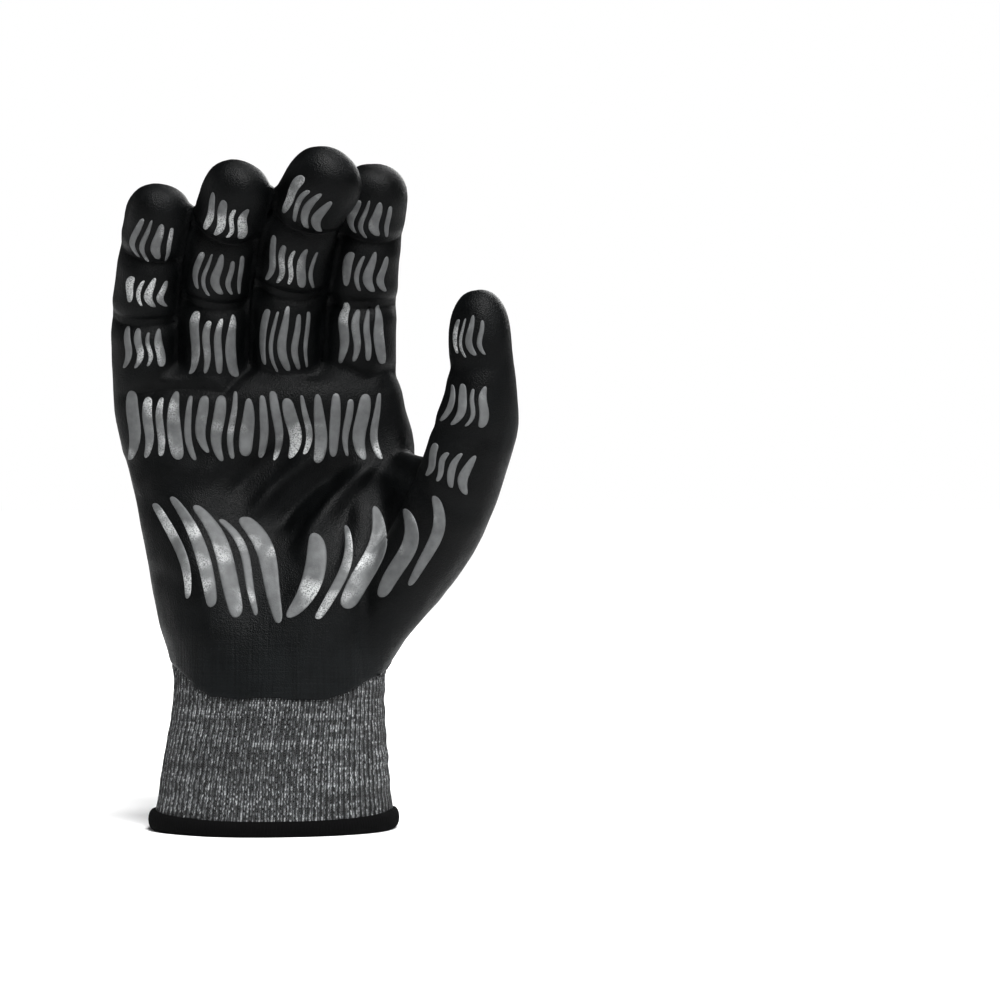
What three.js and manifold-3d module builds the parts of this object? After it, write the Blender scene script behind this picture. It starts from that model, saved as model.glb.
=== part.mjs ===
import * as THREE from 'three';
import { mergeVertices } from 'three/addons/utils/BufferGeometryUtils.js';
import Module from 'manifold-3d';

// A knitted work glove for the right hand, size 10, with a dipped palm and a ribbed cuff,
// in the form that it keeps when it is worn. Millimetres, origin at the centre of the
// wrist opening, +Z to the fingertips, -Y the palm side, +X the thumb side.

const wasm = await Module();
wasm.setup();
const { Manifold, Mesh: SolidMesh } = wasm;

// Driving sizes.
const CUFF_LENGTH = 80;
const WRIST_WIDTH = 77;
const WRIST_DEPTH = 49;
const PALM_LENGTH = 92;
const PALM_WIDTH = 104;
const PALM_DEPTH = 31;
const FINGER_LENGTH = 112;
const FINGER_GIRTH = 24.4;
const THUMB_GIRTH = 27;
const KNIT_WALL = 1.4;
const COAT_RISE = 0.6;
const PIECE_GAP = 0.3;
const HEM_HEIGHT = 7;
const HEM_ROLL = 2.6;

// Mesh fineness.
const BODY_SIDES = 32;
const FINGER_SIDES = 14;
const HEM_SIDES = 8;
const WEB_SIDES = 20;
const AXIS_SAMPLES = 60;
const KNIT_OUTLINE_PIECES = 54;
const COAT_EDGE_PIECES = 27;
const POINT_TOLERANCE = 1e-4;

// Cuff, wrist opening first. at: share of CUFF_LENGTH. left, right: shares of WRIST_WIDTH.
// front, back: shares of WRIST_DEPTH.
const CUFF_SECTIONS = [
  { at: -0.08, left: -0.594, right: 0.566, front: -0.604, back: 0.604 },
  { at: 0.16, left: -0.562, right: 0.548, front: -0.575, back: 0.575 },
  { at: 0.35, left: -0.533, right: 0.532, front: -0.542, back: 0.542 },
  { at: 0.52, left: -0.503, right: 0.520, front: -0.512, back: 0.512 },
  { at: 0.67, left: -0.490, right: 0.520, front: -0.496, back: 0.499 },
  { at: 0.80, left: -0.508, right: 0.532, front: -0.459, back: 0.498 },
  { at: 0.93, left: -0.552, right: 0.560, front: -0.395, back: 0.506 },
];

// Palm, from the cuff to the finger roots. at: share of PALM_LENGTH past the cuff.
// left, right: shares of PALM_WIDTH. front, back: shares of PALM_DEPTH.
const PALM_SECTIONS = [
  { at: 0.045, left: -0.430, right: 0.430, front: -0.503, back: 0.839 },
  { at: 0.160, left: -0.448, right: 0.442, front: -0.370, back: 0.887 },
  { at: 0.283, left: -0.470, right: 0.456, front: -0.226, back: 0.926 },
  { at: 0.424, left: -0.496, right: 0.468, front: -0.090, back: 0.942 },
  { at: 0.565, left: -0.525, right: 0.476, front: -0.032, back: 0.942 },
  { at: 0.717, left: -0.550, right: 0.468, front: -0.045, back: 0.926 },
  { at: 0.826, left: -0.560, right: 0.450, front: -0.090, back: 0.897 },
  { at: 0.902, left: -0.560, right: 0.438, front: -0.071, back: 0.839 },
  { at: 0.962, left: -0.538, right: 0.410, front: 0.048, back: 0.726 },
  { at: 0.995, left: -0.490, right: 0.365, front: 0.210, back: 0.565 },
];
const WRIST_SQUARENESS = 2.0;
const PALM_SQUARENESS = 2.5;
// Share of PALM_LENGTH over which the wrist's oval turns into the palm's squarer section.
const SQUARE_FROM = 0.33;

// Mounds and hollows of the palm side. x, wide: shares of PALM_WIDTH. z, long: shares of
// PALM_LENGTH past the cuff. rise: share of PALM_DEPTH. turn: degrees off upright.
const PALM_RELIEF = [
  { name: 'little finger mound', x: -0.31, z: 0.14, wide: 0.125, long: 0.22, rise: 0.26, turn: 0 },
  { name: 'thumb mound', x: 0.31, z: 0.16, wide: 0.16, long: 0.26, rise: 0.46, turn: -20 },
  { name: 'finger root pads', x: -0.05, z: 0.81, wide: 0.35, long: 0.075, rise: 0.08, turn: 0 },
  { name: 'palm hollow', x: 0.02, z: 0.41, wide: 0.15, long: 0.17, rise: -0.09, turn: 0 },
];

// Fingers. x, y, z: knuckle, as shares of PALM_WIDTH, PALM_DEPTH and PALM_LENGTH past the cuff.
// length: from the knuckle to the tip, as a share of FINGER_LENGTH. width, tip: across the
// root and the end pad, depth: through the finger, as shares of FINGER_GIRTH.
// curl: degrees towards the palm of the three phalanges. lean: degrees towards the thumb.
const FINGERS = [
  {
    name: 'little', x: -0.463, y: 0.42, z: 0.674, length: 0.875, width: 0.967, tip: 0.955,
    depth: 0.926, curl: [8, 20, 30], lean: [-0.5, 6.2, 12.5],
  },
  {
    name: 'ring', x: -0.231, y: 0.42, z: 0.712, length: 0.955, width: 0.967, tip: 1.008,
    depth: 0.967, curl: [12, 28, 42], lean: [2, 8, 17],
  },
  {
    name: 'middle', x: 0.021, y: 0.42, z: 0.739, length: 1, width: 1, tip: 1.107,
    depth: 1, curl: [13, 32, 46], lean: [2.4, 12, 28],
  },
  {
    name: 'index', x: 0.296, y: 0.42, z: 0.739, length: 0.888, width: 1.115, tip: 0.967,
    depth: 0.984, curl: [7, 18, 28], lean: [0.5, 6, 7],
  },
];
const PHALANX_SHARES = [0.466, 0.297, 0.237];

// Form along a finger. at: share of its length. width: share of its girth there.
// front, back: shares of half its depth. The last rows are the domed tip.
const FINGER_SECTIONS = [
  { at: -0.04, width: 0.70, front: 0.88, back: 0.92 },
  { at: 0.10, width: 0.93, front: 0.94, back: 1.00 },
  { at: 0.185, width: 0.98, front: 0.90, back: 1.00 },
  { at: 0.25, width: 1.00, front: 1.02, back: 0.99 },
  { at: 0.36, width: 1.00, front: 1.05, back: 0.98 },
  { at: 0.44, width: 1.00, front: 0.95, back: 1.03 },
  { at: 0.49, width: 0.99, front: 0.90, back: 1.04 },
  { at: 0.55, width: 0.99, front: 1.00, back: 0.99 },
  { at: 0.64, width: 0.98, front: 1.03, back: 0.93 },
  { at: 0.72, width: 0.96, front: 0.91, back: 0.93 },
  { at: 0.79, width: 0.97, front: 0.97, back: 0.88 },
];
const DOME_START = 0.87;
const DOME_FRONT = 0.98;
const DOME_BACK = 0.80;
const DOME_STEPS = [0, 22, 42, 60, 76];
const DOME_POWER = 0.84;

// Thumb axis, from its heel to the tip. x, y: shares of PALM_WIDTH and PALM_DEPTH.
// z: share of PALM_LENGTH past the cuff.
const THUMB_AXIS = [
  { x: 0.240, y: -0.06, z: -0.24 },
  { x: 0.395, y: -0.38, z: 0.04 },
  { x: 0.550, y: -0.66, z: 0.30 },
  { x: 0.648, y: -0.82, z: 0.54 },
  { x: 0.705, y: -0.95, z: 0.81 },
  { x: 0.706, y: -1.04, z: 1.26 },
];
// Across the end pad, as a share of THUMB_GIRTH. The taper starts at this share of the axis.
const THUMB_TIP = 0.833;
const THUMB_TAPER_START = 0.5;
// at: share along the axis. width, front, back: shares of half THUMB_GIRTH.
const THUMB_SECTIONS = [
  { at: 0.00, width: 0.90, front: 0.80, back: 0.80 },
  { at: 0.14, width: 0.95, front: 0.86, back: 0.84 },
  { at: 0.28, width: 1.05, front: 1.00, back: 1.00 },
  { at: 0.40, width: 1.10, front: 1.08, back: 1.08 },
  { at: 0.52, width: 1.08, front: 1.20, back: 1.04 },
  { at: 0.62, width: 1.02, front: 1.26, back: 1.08 },
  { at: 0.71, width: 1.00, front: 1.20, back: 1.19 },
  { at: 0.77, width: 0.98, front: 1.04, back: 1.03 },
  { at: 0.84, width: 0.96, front: 0.93, back: 0.88 },
];
const THUMB_DOME_START = 0.885;
// Direction of the thumb's back, in degrees from +X towards +Y.
const THUMB_BACK_TURN = 36;

// Web of skin between the palm and the thumb. z: share of PALM_LENGTH past the cuff.
// reach: share of the way from the palm to the thumb axis. thick: share of PALM_DEPTH.
const WEB_SECTIONS = [
  { z: -0.10, reach: 0.75, thick: 0.62 },
  { z: 0.10, reach: 0.85, thick: 0.62 },
  { z: 0.30, reach: 0.90, thick: 0.56 },
  { z: 0.46, reach: 0.92, thick: 0.50 },
  { z: 0.56, reach: 0.90, thick: 0.40 },
  { z: 0.605, reach: 0.84, thick: 0.26 },
];
const WEB_ROOT_X = 0.36;
const WEB_ROOT_Y = 0.36;
const WEB_TOP_DROP = 0.02;

// Outline of the bare knit, seen from the back. x: share of PALM_WIDTH. z: share of
// PALM_LENGTH past the cuff. From the little finger's side over the knuckles to the thumb.
const KNIT_OUTLINE = [
  { x: -0.385, z: -0.95 },
  { x: -0.385, z: -0.18 },
  { x: -0.385, z: -0.04 },
  { x: -0.402, z: 0.15 },
  { x: -0.440, z: 0.42 },
  { x: -0.485, z: 0.66 },
  { x: -0.515, z: 0.82 },
  { x: -0.505, z: 0.88 },
  { x: 0.350, z: 0.88 },
  { x: 0.378, z: 0.80 },
  { x: 0.412, z: 0.70 },
  { x: 0.452, z: 0.56 },
  { x: 0.520, z: 0.46 },
  { x: 0.600, z: 0.44 },
  { x: 0.620, z: 0.34 },
  { x: 0.560, z: 0.14 },
  { x: 0.440, z: -0.10 },
  { x: 0.385, z: -0.20 },
  { x: 0.385, z: -0.95 },
];
// The knit outline cuts in to this height over the palm side, as a share of PALM_DEPTH.
const KNIT_FRONT = 0.46;

// Lower edge of the coating across the palm side. x: share of WRIST_WIDTH.
// z: share of CUFF_LENGTH.
const COAT_LOWER_EDGE = [
  { x: -0.80, z: 0.82 },
  { x: -0.49, z: 0.79 },
  { x: -0.44, z: 0.72 },
  { x: -0.34, z: 0.645 },
  { x: -0.18, z: 0.617 },
  { x: 0.20, z: 0.612 },
  { x: 0.34, z: 0.640 },
  { x: 0.44, z: 0.70 },
  { x: 0.53, z: 0.77 },
  { x: 0.80, z: 0.80 },
];

// Bare knit along the back of each finger. at: share of the finger's length.
// half: share of half its girth. spread: share of the way in to the back of the hand.
const FINGER_TONGUE = [
  { at: 0.08, half: 0.80, spread: 0 },
  { at: 0.18, half: 0.66, spread: 0 },
  { at: 0.34, half: 0.56, spread: 0 },
  { at: 0.50, half: 0.46, spread: 0 },
  { at: 0.62, half: 0.30, spread: 0 },
  { at: 0.68, half: 0.10, spread: 0 },
];
// Bare knit along the back of the thumb, with the same columns.
const THUMB_TONGUE = [
  { at: -0.12, half: 0.20, spread: 1 },
  { at: 0.04, half: 0.26, spread: 1 },
  { at: 0.16, half: 0.44, spread: 1 },
  { at: 0.34, half: 0.52, spread: 1 },
  { at: 0.42, half: 0.52, spread: 0.95 },
  { at: 0.475, half: 0.50, spread: 0.3 },
  { at: 0.53, half: 0.44, spread: 0 },
  { at: 0.64, half: 0.34, spread: 0 },
  { at: 0.70, half: 0.10, spread: 0 },
];
const TONGUE_REACH = 2.2;
const TONGUE_ROOT_X = 0.20;
const TONGUE_ROOT_Y = 0.48;
// Longer than any half size of the glove, for cutting shapes that pass right through it.
const FAR = 90;

// Heights that the pieces share.
const cuffTop = CUFF_LENGTH;
const palmZ = (share) => cuffTop + share * PALM_LENGTH;

// A closed surface through equal rings of points, with both ends fanned to a middle point.
function loftGeometry(rings, startPoint, endPoint) {
  const sides = rings[0].length;
  const points = rings.flat();
  const positions = points.flatMap((point) => point.toArray());
  positions.push(...startPoint.toArray(), ...endPoint.toArray());
  const startIndex = points.length;
  const endIndex = startIndex + 1;
  const lastRing = (rings.length - 1) * sides;
  const index = [];
  for (let side = 0; side < sides; side += 1) {
    const next = (side + 1) % sides;
    index.push(startIndex, next, side);
    index.push(endIndex, lastRing + side, lastRing + next);
    for (let ring = 0; ring < rings.length - 1; ring += 1) {
      const low = ring * sides;
      const high = low + sides;
      index.push(low + side, low + next, high + next);
      index.push(low + side, high + next, high + side);
    }
  }
  const geometry = new THREE.BufferGeometry();
  geometry.setAttribute('position', new THREE.Float32BufferAttribute(positions, 3));
  geometry.setIndex(index);
  return geometry;
}

function toSolid(geometry) {
  const bare = geometry.clone();
  bare.deleteAttribute('normal');
  bare.deleteAttribute('uv');
  const merged = mergeVertices(bare, POINT_TOLERANCE);
  const mesh = new SolidMesh({
    numProp: 3,
    vertProperties: new Float32Array(merged.attributes.position.array),
    triVerts: new Uint32Array(merged.index.array),
  });
  mesh.merge();
  return new Manifold(mesh);
}

function toGeometry(solid) {
  const mesh = solid.getMesh();
  const geometry = new THREE.BufferGeometry();
  geometry.setAttribute('position', new THREE.BufferAttribute(mesh.vertProperties, 3));
  geometry.setIndex(new THREE.BufferAttribute(mesh.triVerts, 1));
  return geometry;
}

const joinAll = (solids) => solids.reduce((whole, solid) => whole.add(solid));

const midPoint = (ring) => ring
  .reduce((sum, point) => sum.add(point), new THREE.Vector3())
  .divideScalar(ring.length);

// Moves each point of a loft along its surface normal, so that walls keep their thickness.
function offsetRings(rings, distance) {
  const sides = rings[0].length;
  const last = rings.length - 1;
  return rings.map((ring, row) => ring.map((point, side) => {
    const before = ring[(side + sides - 1) % sides];
    const after = ring[(side + 1) % sides];
    const below = rings[Math.max(row - 1, 0)][side];
    const above = rings[Math.min(row + 1, last)][side];
    const around = after.clone().sub(before);
    const along = above.clone().sub(below);
    const normal = around.cross(along).normalize();
    return point.clone().addScaledVector(normal, distance);
  }));
}

// One ring of the cuff or palm: four half sizes joined as quarter superellipses.
function bodyRing({ left, right, front, back, z, squareness }) {
  const centreX = (left + right) / 2;
  const centreY = (front + back) / 2;
  const halfWidth = (right - left) / 2;
  const halfDepth = (back - front) / 2;
  const ring = [];
  for (let side = 0; side < BODY_SIDES; side += 1) {
    const angle = (side / BODY_SIDES) * 2 * Math.PI;
    const across = Math.cos(angle);
    const deep = Math.sin(angle);
    const power = 2 / squareness;
    ring.push(new THREE.Vector3(
      centreX + halfWidth * Math.sign(across) * Math.abs(across) ** power,
      centreY + halfDepth * Math.sign(deep) * Math.abs(deep) ** power,
      z,
    ));
  }
  return ring;
}

// How far the mounds push the palm side forward at a point.
function palmRelief(point) {
  return PALM_RELIEF.reduce((total, { x, z, wide, long, rise, turn }) => {
    const angle = THREE.MathUtils.degToRad(turn);
    const dx = point.x - x * PALM_WIDTH;
    const dz = point.z - palmZ(z);
    const across = (dx * Math.cos(angle) + dz * Math.sin(angle)) / (wide * PALM_WIDTH);
    const along = (dz * Math.cos(angle) - dx * Math.sin(angle)) / (long * PALM_LENGTH);
    return total + rise * PALM_DEPTH * Math.exp(-0.5 * (across * across + along * along));
  }, 0);
}

function bodyRings() {
  const cuff = CUFF_SECTIONS.map((row) => bodyRing({
    left: row.left * WRIST_WIDTH,
    right: row.right * WRIST_WIDTH,
    front: row.front * WRIST_DEPTH,
    back: row.back * WRIST_DEPTH,
    z: row.at * CUFF_LENGTH,
    squareness: WRIST_SQUARENESS,
  }));
  const palm = PALM_SECTIONS.map((row) => bodyRing({
    left: row.left * PALM_WIDTH,
    right: row.right * PALM_WIDTH,
    front: row.front * PALM_DEPTH,
    back: row.back * PALM_DEPTH,
    z: palmZ(row.at),
    squareness: THREE.MathUtils.lerp(WRIST_SQUARENESS, PALM_SQUARENESS,
      Math.min(1, row.at / SQUARE_FROM)),
  }));
  const rings = [...cuff, ...palm];
  for (const ring of rings) {
    const middle = midPoint(ring);
    const frontDepth = middle.y - Math.min(...ring.map((point) => point.y));
    for (const point of ring) {
      const forward = THREE.MathUtils.clamp((middle.y - point.y) / frontDepth, 0, 1);
      point.y -= palmRelief(point) * THREE.MathUtils.smoothstep(forward, 0, 1);
    }
  }
  return rings;
}

function bodySolid(offset) {
  const rings = offsetRings(bodyRings(), offset);
  const last = rings[rings.length - 1];
  const top = midPoint(last).setZ(palmZ(1) + offset);
  return toSolid(loftGeometry(rings, midPoint(rings[0]), top));
}

// Points of a finger or thumb across its axis: side is the way to its right-hand side,
// back the way out of its back.
function sectionRing(centre, side, back, halfWidth, frontDepth, backDepth) {
  const ring = [];
  for (let step = 0; step < FINGER_SIDES; step += 1) {
    const angle = ((step + 0.5) / FINGER_SIDES) * 2 * Math.PI;
    const deep = Math.sin(angle);
    ring.push(centre.clone()
      .addScaledVector(side, halfWidth * Math.cos(angle))
      .addScaledVector(back, (deep > 0 ? backDepth : frontDepth) * deep));
  }
  return ring;
}

// The axis of a finger: a smooth curve through its knuckle and joints.
function fingerAxis({ x, y, z, length, curl, lean }) {
  const joints = [new THREE.Vector3(x * PALM_WIDTH, y * PALM_DEPTH, palmZ(z))];
  PHALANX_SHARES.forEach((share, phalanx) => {
    const bend = THREE.MathUtils.degToRad(curl[phalanx]);
    const sway = THREE.MathUtils.degToRad(lean[phalanx]);
    const way = new THREE.Vector3(
      Math.sin(sway),
      -Math.sin(bend) * Math.cos(sway),
      Math.cos(bend) * Math.cos(sway),
    );
    joints.push(joints[joints.length - 1].clone()
      .addScaledVector(way, share * length * FINGER_LENGTH));
  });
  return new THREE.CatmullRomCurve3(joints, false, 'centripetal');
}

function thumbAxis() {
  const points = THUMB_AXIS.map(({ x, y, z }) => (
    new THREE.Vector3(x * PALM_WIDTH, y * PALM_DEPTH, palmZ(z))));
  return new THREE.CatmullRomCurve3(points, false, 'centripetal');
}

const fingerBackWay = new THREE.Vector3(0, 1, 0);
const thumbTurn = THREE.MathUtils.degToRad(THUMB_BACK_TURN);
const thumbBackWay = new THREE.Vector3(Math.cos(thumbTurn), Math.sin(thumbTurn), 0);

// Centre and directions at a share along an axis. Shares below 0 run straight on.
function frameAt(axis, share, backWay) {
  const clamped = THREE.MathUtils.clamp(share, 0, 1);
  const tangent = axis.getTangentAt(clamped);
  const centre = axis.getPointAt(clamped)
    .addScaledVector(tangent, (share - clamped) * axis.getLength());
  const back = backWay.clone().addScaledVector(tangent, -backWay.dot(tangent)).normalize();
  const side = back.clone().cross(tangent).normalize();
  return { centre, tangent, back, side };
}

// Rings of a finger or thumb from its table, closed by a dome.
function digitRings(axis, backWay, sections, girthAt, depthAt, domeStart) {
  const rows = sections.map((row) => ({ ...row, swell: 1 }));
  for (const step of DOME_STEPS) {
    const angle = THREE.MathUtils.degToRad(step);
    rows.push({
      at: domeStart + (1 - domeStart) * Math.sin(angle) ** DOME_POWER,
      width: 1,
      front: DOME_FRONT,
      back: DOME_BACK,
      swell: Math.cos(angle) ** DOME_POWER,
    });
  }
  return rows.map(({ at, width, front, back, swell }) => {
    const frame = frameAt(axis, at, backWay);
    const share = THREE.MathUtils.clamp(at, 0, 1);
    const halfWidth = (girthAt(share) / 2) * width * swell;
    const halfDepth = (depthAt(share) / 2) * swell;
    return sectionRing(frame.centre, frame.side, frame.back, halfWidth, halfDepth * front,
      halfDepth * back);
  });
}

function digitSolid(rings, axis, offset) {
  const isInner = offset < 0;
  const moved = offsetRings(rings, offset)
    .map((ring) => (isInner ? ring.filter((_, side) => side % 2 === 0) : ring));
  const tip = axis.getPointAt(1).addScaledVector(axis.getTangentAt(1), offset);
  return toSolid(loftGeometry(moved, midPoint(moved[0]), tip));
}

function fingerDigit(finger) {
  const axis = fingerAxis(finger);
  const girthAt = (share) => FINGER_GIRTH * THREE.MathUtils.lerp(finger.width, finger.tip, share);
  const depthAt = () => FINGER_GIRTH * finger.depth;
  const rings = digitRings(axis, fingerBackWay, FINGER_SECTIONS, girthAt, depthAt, DOME_START);
  return { axis, backWay: fingerBackWay, girthAt, rings, tongue: FINGER_TONGUE };
}

function thumbDigit() {
  const axis = thumbAxis();
  const girthAt = (share) => THUMB_GIRTH * THREE.MathUtils.lerp(1, THUMB_TIP,
    THREE.MathUtils.smoothstep(share, THUMB_TAPER_START, 1));
  const rings = digitRings(axis, thumbBackWay, THUMB_SECTIONS, girthAt, girthAt,
    THUMB_DOME_START);
  return { axis, backWay: thumbBackWay, girthAt, rings, tongue: THUMB_TONGUE };
}

const thumb = thumbDigit();
const digits = [...FINGERS.map(fingerDigit), thumb];

// The web runs as flat ovals from inside the palm to the thumb axis.
function webSolid(offset) {
  const samples = thumb.axis.getSpacedPoints(AXIS_SAMPLES);
  const rings = WEB_SECTIONS.map(({ z, reach, thick }) => {
    const height = palmZ(z);
    const root = new THREE.Vector3(WEB_ROOT_X * PALM_WIDTH, WEB_ROOT_Y * PALM_DEPTH, height);
    const onThumb = samples.reduce((best, point) => (
      Math.abs(point.z - height) < Math.abs(best.z - height) ? point : best)).clone();
    onThumb.z = height;
    const end = root.clone().lerp(onThumb, reach);
    const centre = root.clone().add(end).multiplyScalar(0.5);
    const way = end.clone().sub(root);
    const halfLength = way.length() / 2;
    way.normalize();
    const normal = new THREE.Vector3(-way.y, way.x, 0);
    const ring = [];
    for (let step = 0; step < WEB_SIDES; step += 1) {
      const angle = (step / WEB_SIDES) * 2 * Math.PI;
      ring.push(centre.clone()
        .addScaledVector(way, halfLength * Math.cos(angle))
        .addScaledVector(normal, (thick / 2) * PALM_DEPTH * Math.sin(angle)));
    }
    return ring;
  });
  const moved = offsetRings(rings, offset);
  const topRow = WEB_SECTIONS[WEB_SECTIONS.length - 1];
  const top = midPoint(moved[moved.length - 1]);
  top.z = palmZ(topRow.z + WEB_TOP_DROP) + offset;
  return toSolid(loftGeometry(moved, midPoint(moved[0]), top));
}

const gloveBody = (offset) => joinAll([
  bodySolid(offset),
  webSolid(offset),
  ...digits.map((digit) => digitSolid(digit.rings, digit.axis, offset)),
]);

// A slab with a smooth outline in X and Z, between two depths. grow widens it all round.
function slabSolid(outline, near, far, grow) {
  const count = outline.length;
  const area = outline.reduce((sum, point, i) => {
    const next = outline[(i + 1) % count];
    return sum + point.x * next.y - next.x * point.y;
  }, 0);
  const outward = Math.sign(area);
  const grown = outline.map((point, i) => {
    const before = outline[(i + count - 1) % count];
    const after = outline[(i + 1) % count];
    const along = after.clone().sub(before).normalize();
    const outwards = new THREE.Vector2(along.y, -along.x).multiplyScalar(outward);
    return point.clone().addScaledVector(outwards, grow);
  });
  const geometry = new THREE.ExtrudeGeometry(new THREE.Shape(grown), {
    depth: far - near + 2 * grow,
    bevelEnabled: false,
  });
  geometry.rotateX(Math.PI / 2);
  geometry.translate(0, far + grow, 0);
  return toSolid(geometry);
}

const smoothOutline = (points, closed, pieces) => (
  new THREE.CatmullRomCurve3(points.map(({ x, y }) => new THREE.Vector3(x, y, 0)), closed,
    'centripetal').getPoints(pieces).map((point) => new THREE.Vector2(point.x, point.y)));

// The strip over a finger's back that stays bare, as a wedge from its axis outwards.
function tongueSolid({ axis, backWay, girthAt, tongue }, grow) {
  const rings = tongue.map(({ at, half, spread }, row) => {
    const isTip = row === tongue.length - 1;
    const share = isTip ? at + grow / axis.getLength() : at;
    const { centre, back, side } = frameAt(axis, share, backWay);
    const girth = girthAt(Math.max(at, 0));
    const halfWidth = (half * girth) / 2 + grow;
    const reach = (TONGUE_REACH * girth) / 2;
    const rootX = TONGUE_ROOT_X * PALM_WIDTH;
    const palmRoot = new THREE.Vector3(rootX, TONGUE_ROOT_Y * PALM_DEPTH, centre.z);
    const outer = centre.clone().addScaledVector(side, halfWidth);
    const inner = centre.clone().addScaledVector(side, -halfWidth).lerp(palmRoot, spread);
    const outwards = back.clone().lerp(fingerBackWay, spread);
    return [
      outer,
      outer.clone().addScaledVector(back, reach),
      inner.clone().addScaledVector(outwards, reach),
      inner,
    ];
  });
  return toSolid(loftGeometry(rings, midPoint(rings[0]), midPoint(rings[rings.length - 1])));
}

// Everything that stays bare knit. grow opens the gap to the coating.
function knitWindow(grow) {
  const outline = smoothOutline(
    KNIT_OUTLINE.map(({ x, z }) => ({ x: x * PALM_WIDTH, y: palmZ(z) })),
    true,
    KNIT_OUTLINE_PIECES,
  );
  outline.pop();
  const back = slabSolid(outline, KNIT_FRONT * PALM_DEPTH, FAR, grow);
  const edge = smoothOutline(
    COAT_LOWER_EDGE.map(({ x, z }) => ({ x: x * WRIST_WIDTH, y: z * CUFF_LENGTH })),
    false,
    COAT_EDGE_PIECES,
  );
  const floor = -HEM_HEIGHT - CUFF_LENGTH;
  const bandOutline = [
    new THREE.Vector2(edge[0].x, floor),
    new THREE.Vector2(edge[edge.length - 1].x, floor),
    ...edge.reverse(),
  ];
  const band = slabSolid(bandOutline, -FAR, FAR, grow);
  return joinAll([back, band, ...digits.map((digit) => tongueSolid(digit, grow))]);
}

// Half space between two heights, wide enough for the whole glove.
function layerSolid(low, high) {
  const box = new THREE.BoxGeometry(4 * FAR, 4 * FAR, high - low);
  box.translate(0, 0, (high + low) / 2);
  return toSolid(box);
}

// The rolled hem: an oval section carried round the wrist opening.
function hemGeometry() {
  const rings = [];
  const highest = Math.cos(Math.PI / HEM_SIDES);
  const [lowRow, highRow] = bodyRings();
  const share = (HEM_HEIGHT / 2 - lowRow[0].z) / (highRow[0].z - lowRow[0].z);
  const outline = lowRow.map((point, side) => point.clone().lerp(highRow[side], share));
  for (let side = 0; side < BODY_SIDES; side += 1) {
    const before = outline[(side + BODY_SIDES - 1) % BODY_SIDES];
    const after = outline[(side + 1) % BODY_SIDES];
    const along = after.clone().sub(before);
    const outward = new THREE.Vector3(along.y, -along.x, 0).normalize();
    const ring = [];
    for (let step = 0; step < HEM_SIDES; step += 1) {
      const angle = ((step + 0.5) / HEM_SIDES) * 2 * Math.PI;
      const out = (HEM_ROLL - KNIT_WALL) / 2 + ((HEM_ROLL + KNIT_WALL) / 2) * Math.cos(angle);
      const up = (HEM_HEIGHT / 2) * (1 + Math.sin(angle) / highest);
      ring.push(outline[side].clone().addScaledVector(outward, out).setZ(up));
    }
    rings.push(ring);
  }
  const positions = rings.flat().flatMap((point) => point.toArray());
  const index = [];
  for (let side = 0; side < BODY_SIDES; side += 1) {
    const here = side * HEM_SIDES;
    const there = ((side + 1) % BODY_SIDES) * HEM_SIDES;
    for (let step = 0; step < HEM_SIDES; step += 1) {
      const next = (step + 1) % HEM_SIDES;
      index.push(here + step, there + step, there + next);
      index.push(here + step, there + next, here + next);
    }
  }
  const geometry = new THREE.BufferGeometry();
  geometry.setAttribute('position', new THREE.Float32BufferAttribute(positions, 3));
  geometry.setIndex(index);
  return geometry;
}

const cavity = gloveBody(-KNIT_WALL);
const halfGap = PIECE_GAP / 2;
const knitWall = gloveBody(0).subtract(cavity).intersect(knitWindow(-halfGap));
const coatWall = gloveBody(COAT_RISE).subtract(cavity).subtract(knitWindow(halfGap));
const cuffLayer = layerSolid(HEM_HEIGHT + PIECE_GAP, cuffTop - halfGap);
const handLayer = layerSolid(cuffTop + halfGap, cuffTop + 4 * FAR);

const glove = new THREE.Group();

function addPiece(name, geometry, color, roughness) {
  const material = new THREE.MeshStandardMaterial({ color, roughness, metalness: 0 });
  const mesh = new THREE.Mesh(geometry, material);
  mesh.name = name;
  glove.add(mesh);
}

addPiece('hand_knit', toGeometry(knitWall.intersect(handLayer)), 0x7d7f80, 0.95);
addPiece('wrist_cuff', toGeometry(knitWall.intersect(cuffLayer)), 0x707272, 0.95);
addPiece('palm_coating', toGeometry(coatWall), 0x121314, 0.7);
addPiece('hem_binding', hemGeometry(), 0x101010, 0.9);

export default glove;
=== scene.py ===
"""A knitted work glove with a dipped palm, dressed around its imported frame.

The form is worked out in millimetres, and the meshes are written in metres. +Z runs to the
fingertips, -Y is the palm side and +X the thumb side.
"""

import logging
import math
from collections.abc import Callable
from dataclasses import dataclass, field, replace
from enum import Enum

import bmesh
import bpy
import numpy as np
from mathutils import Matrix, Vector, noise
from mathutils.bvhtree import BVHTree
from mathutils.kdtree import KDTree

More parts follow.
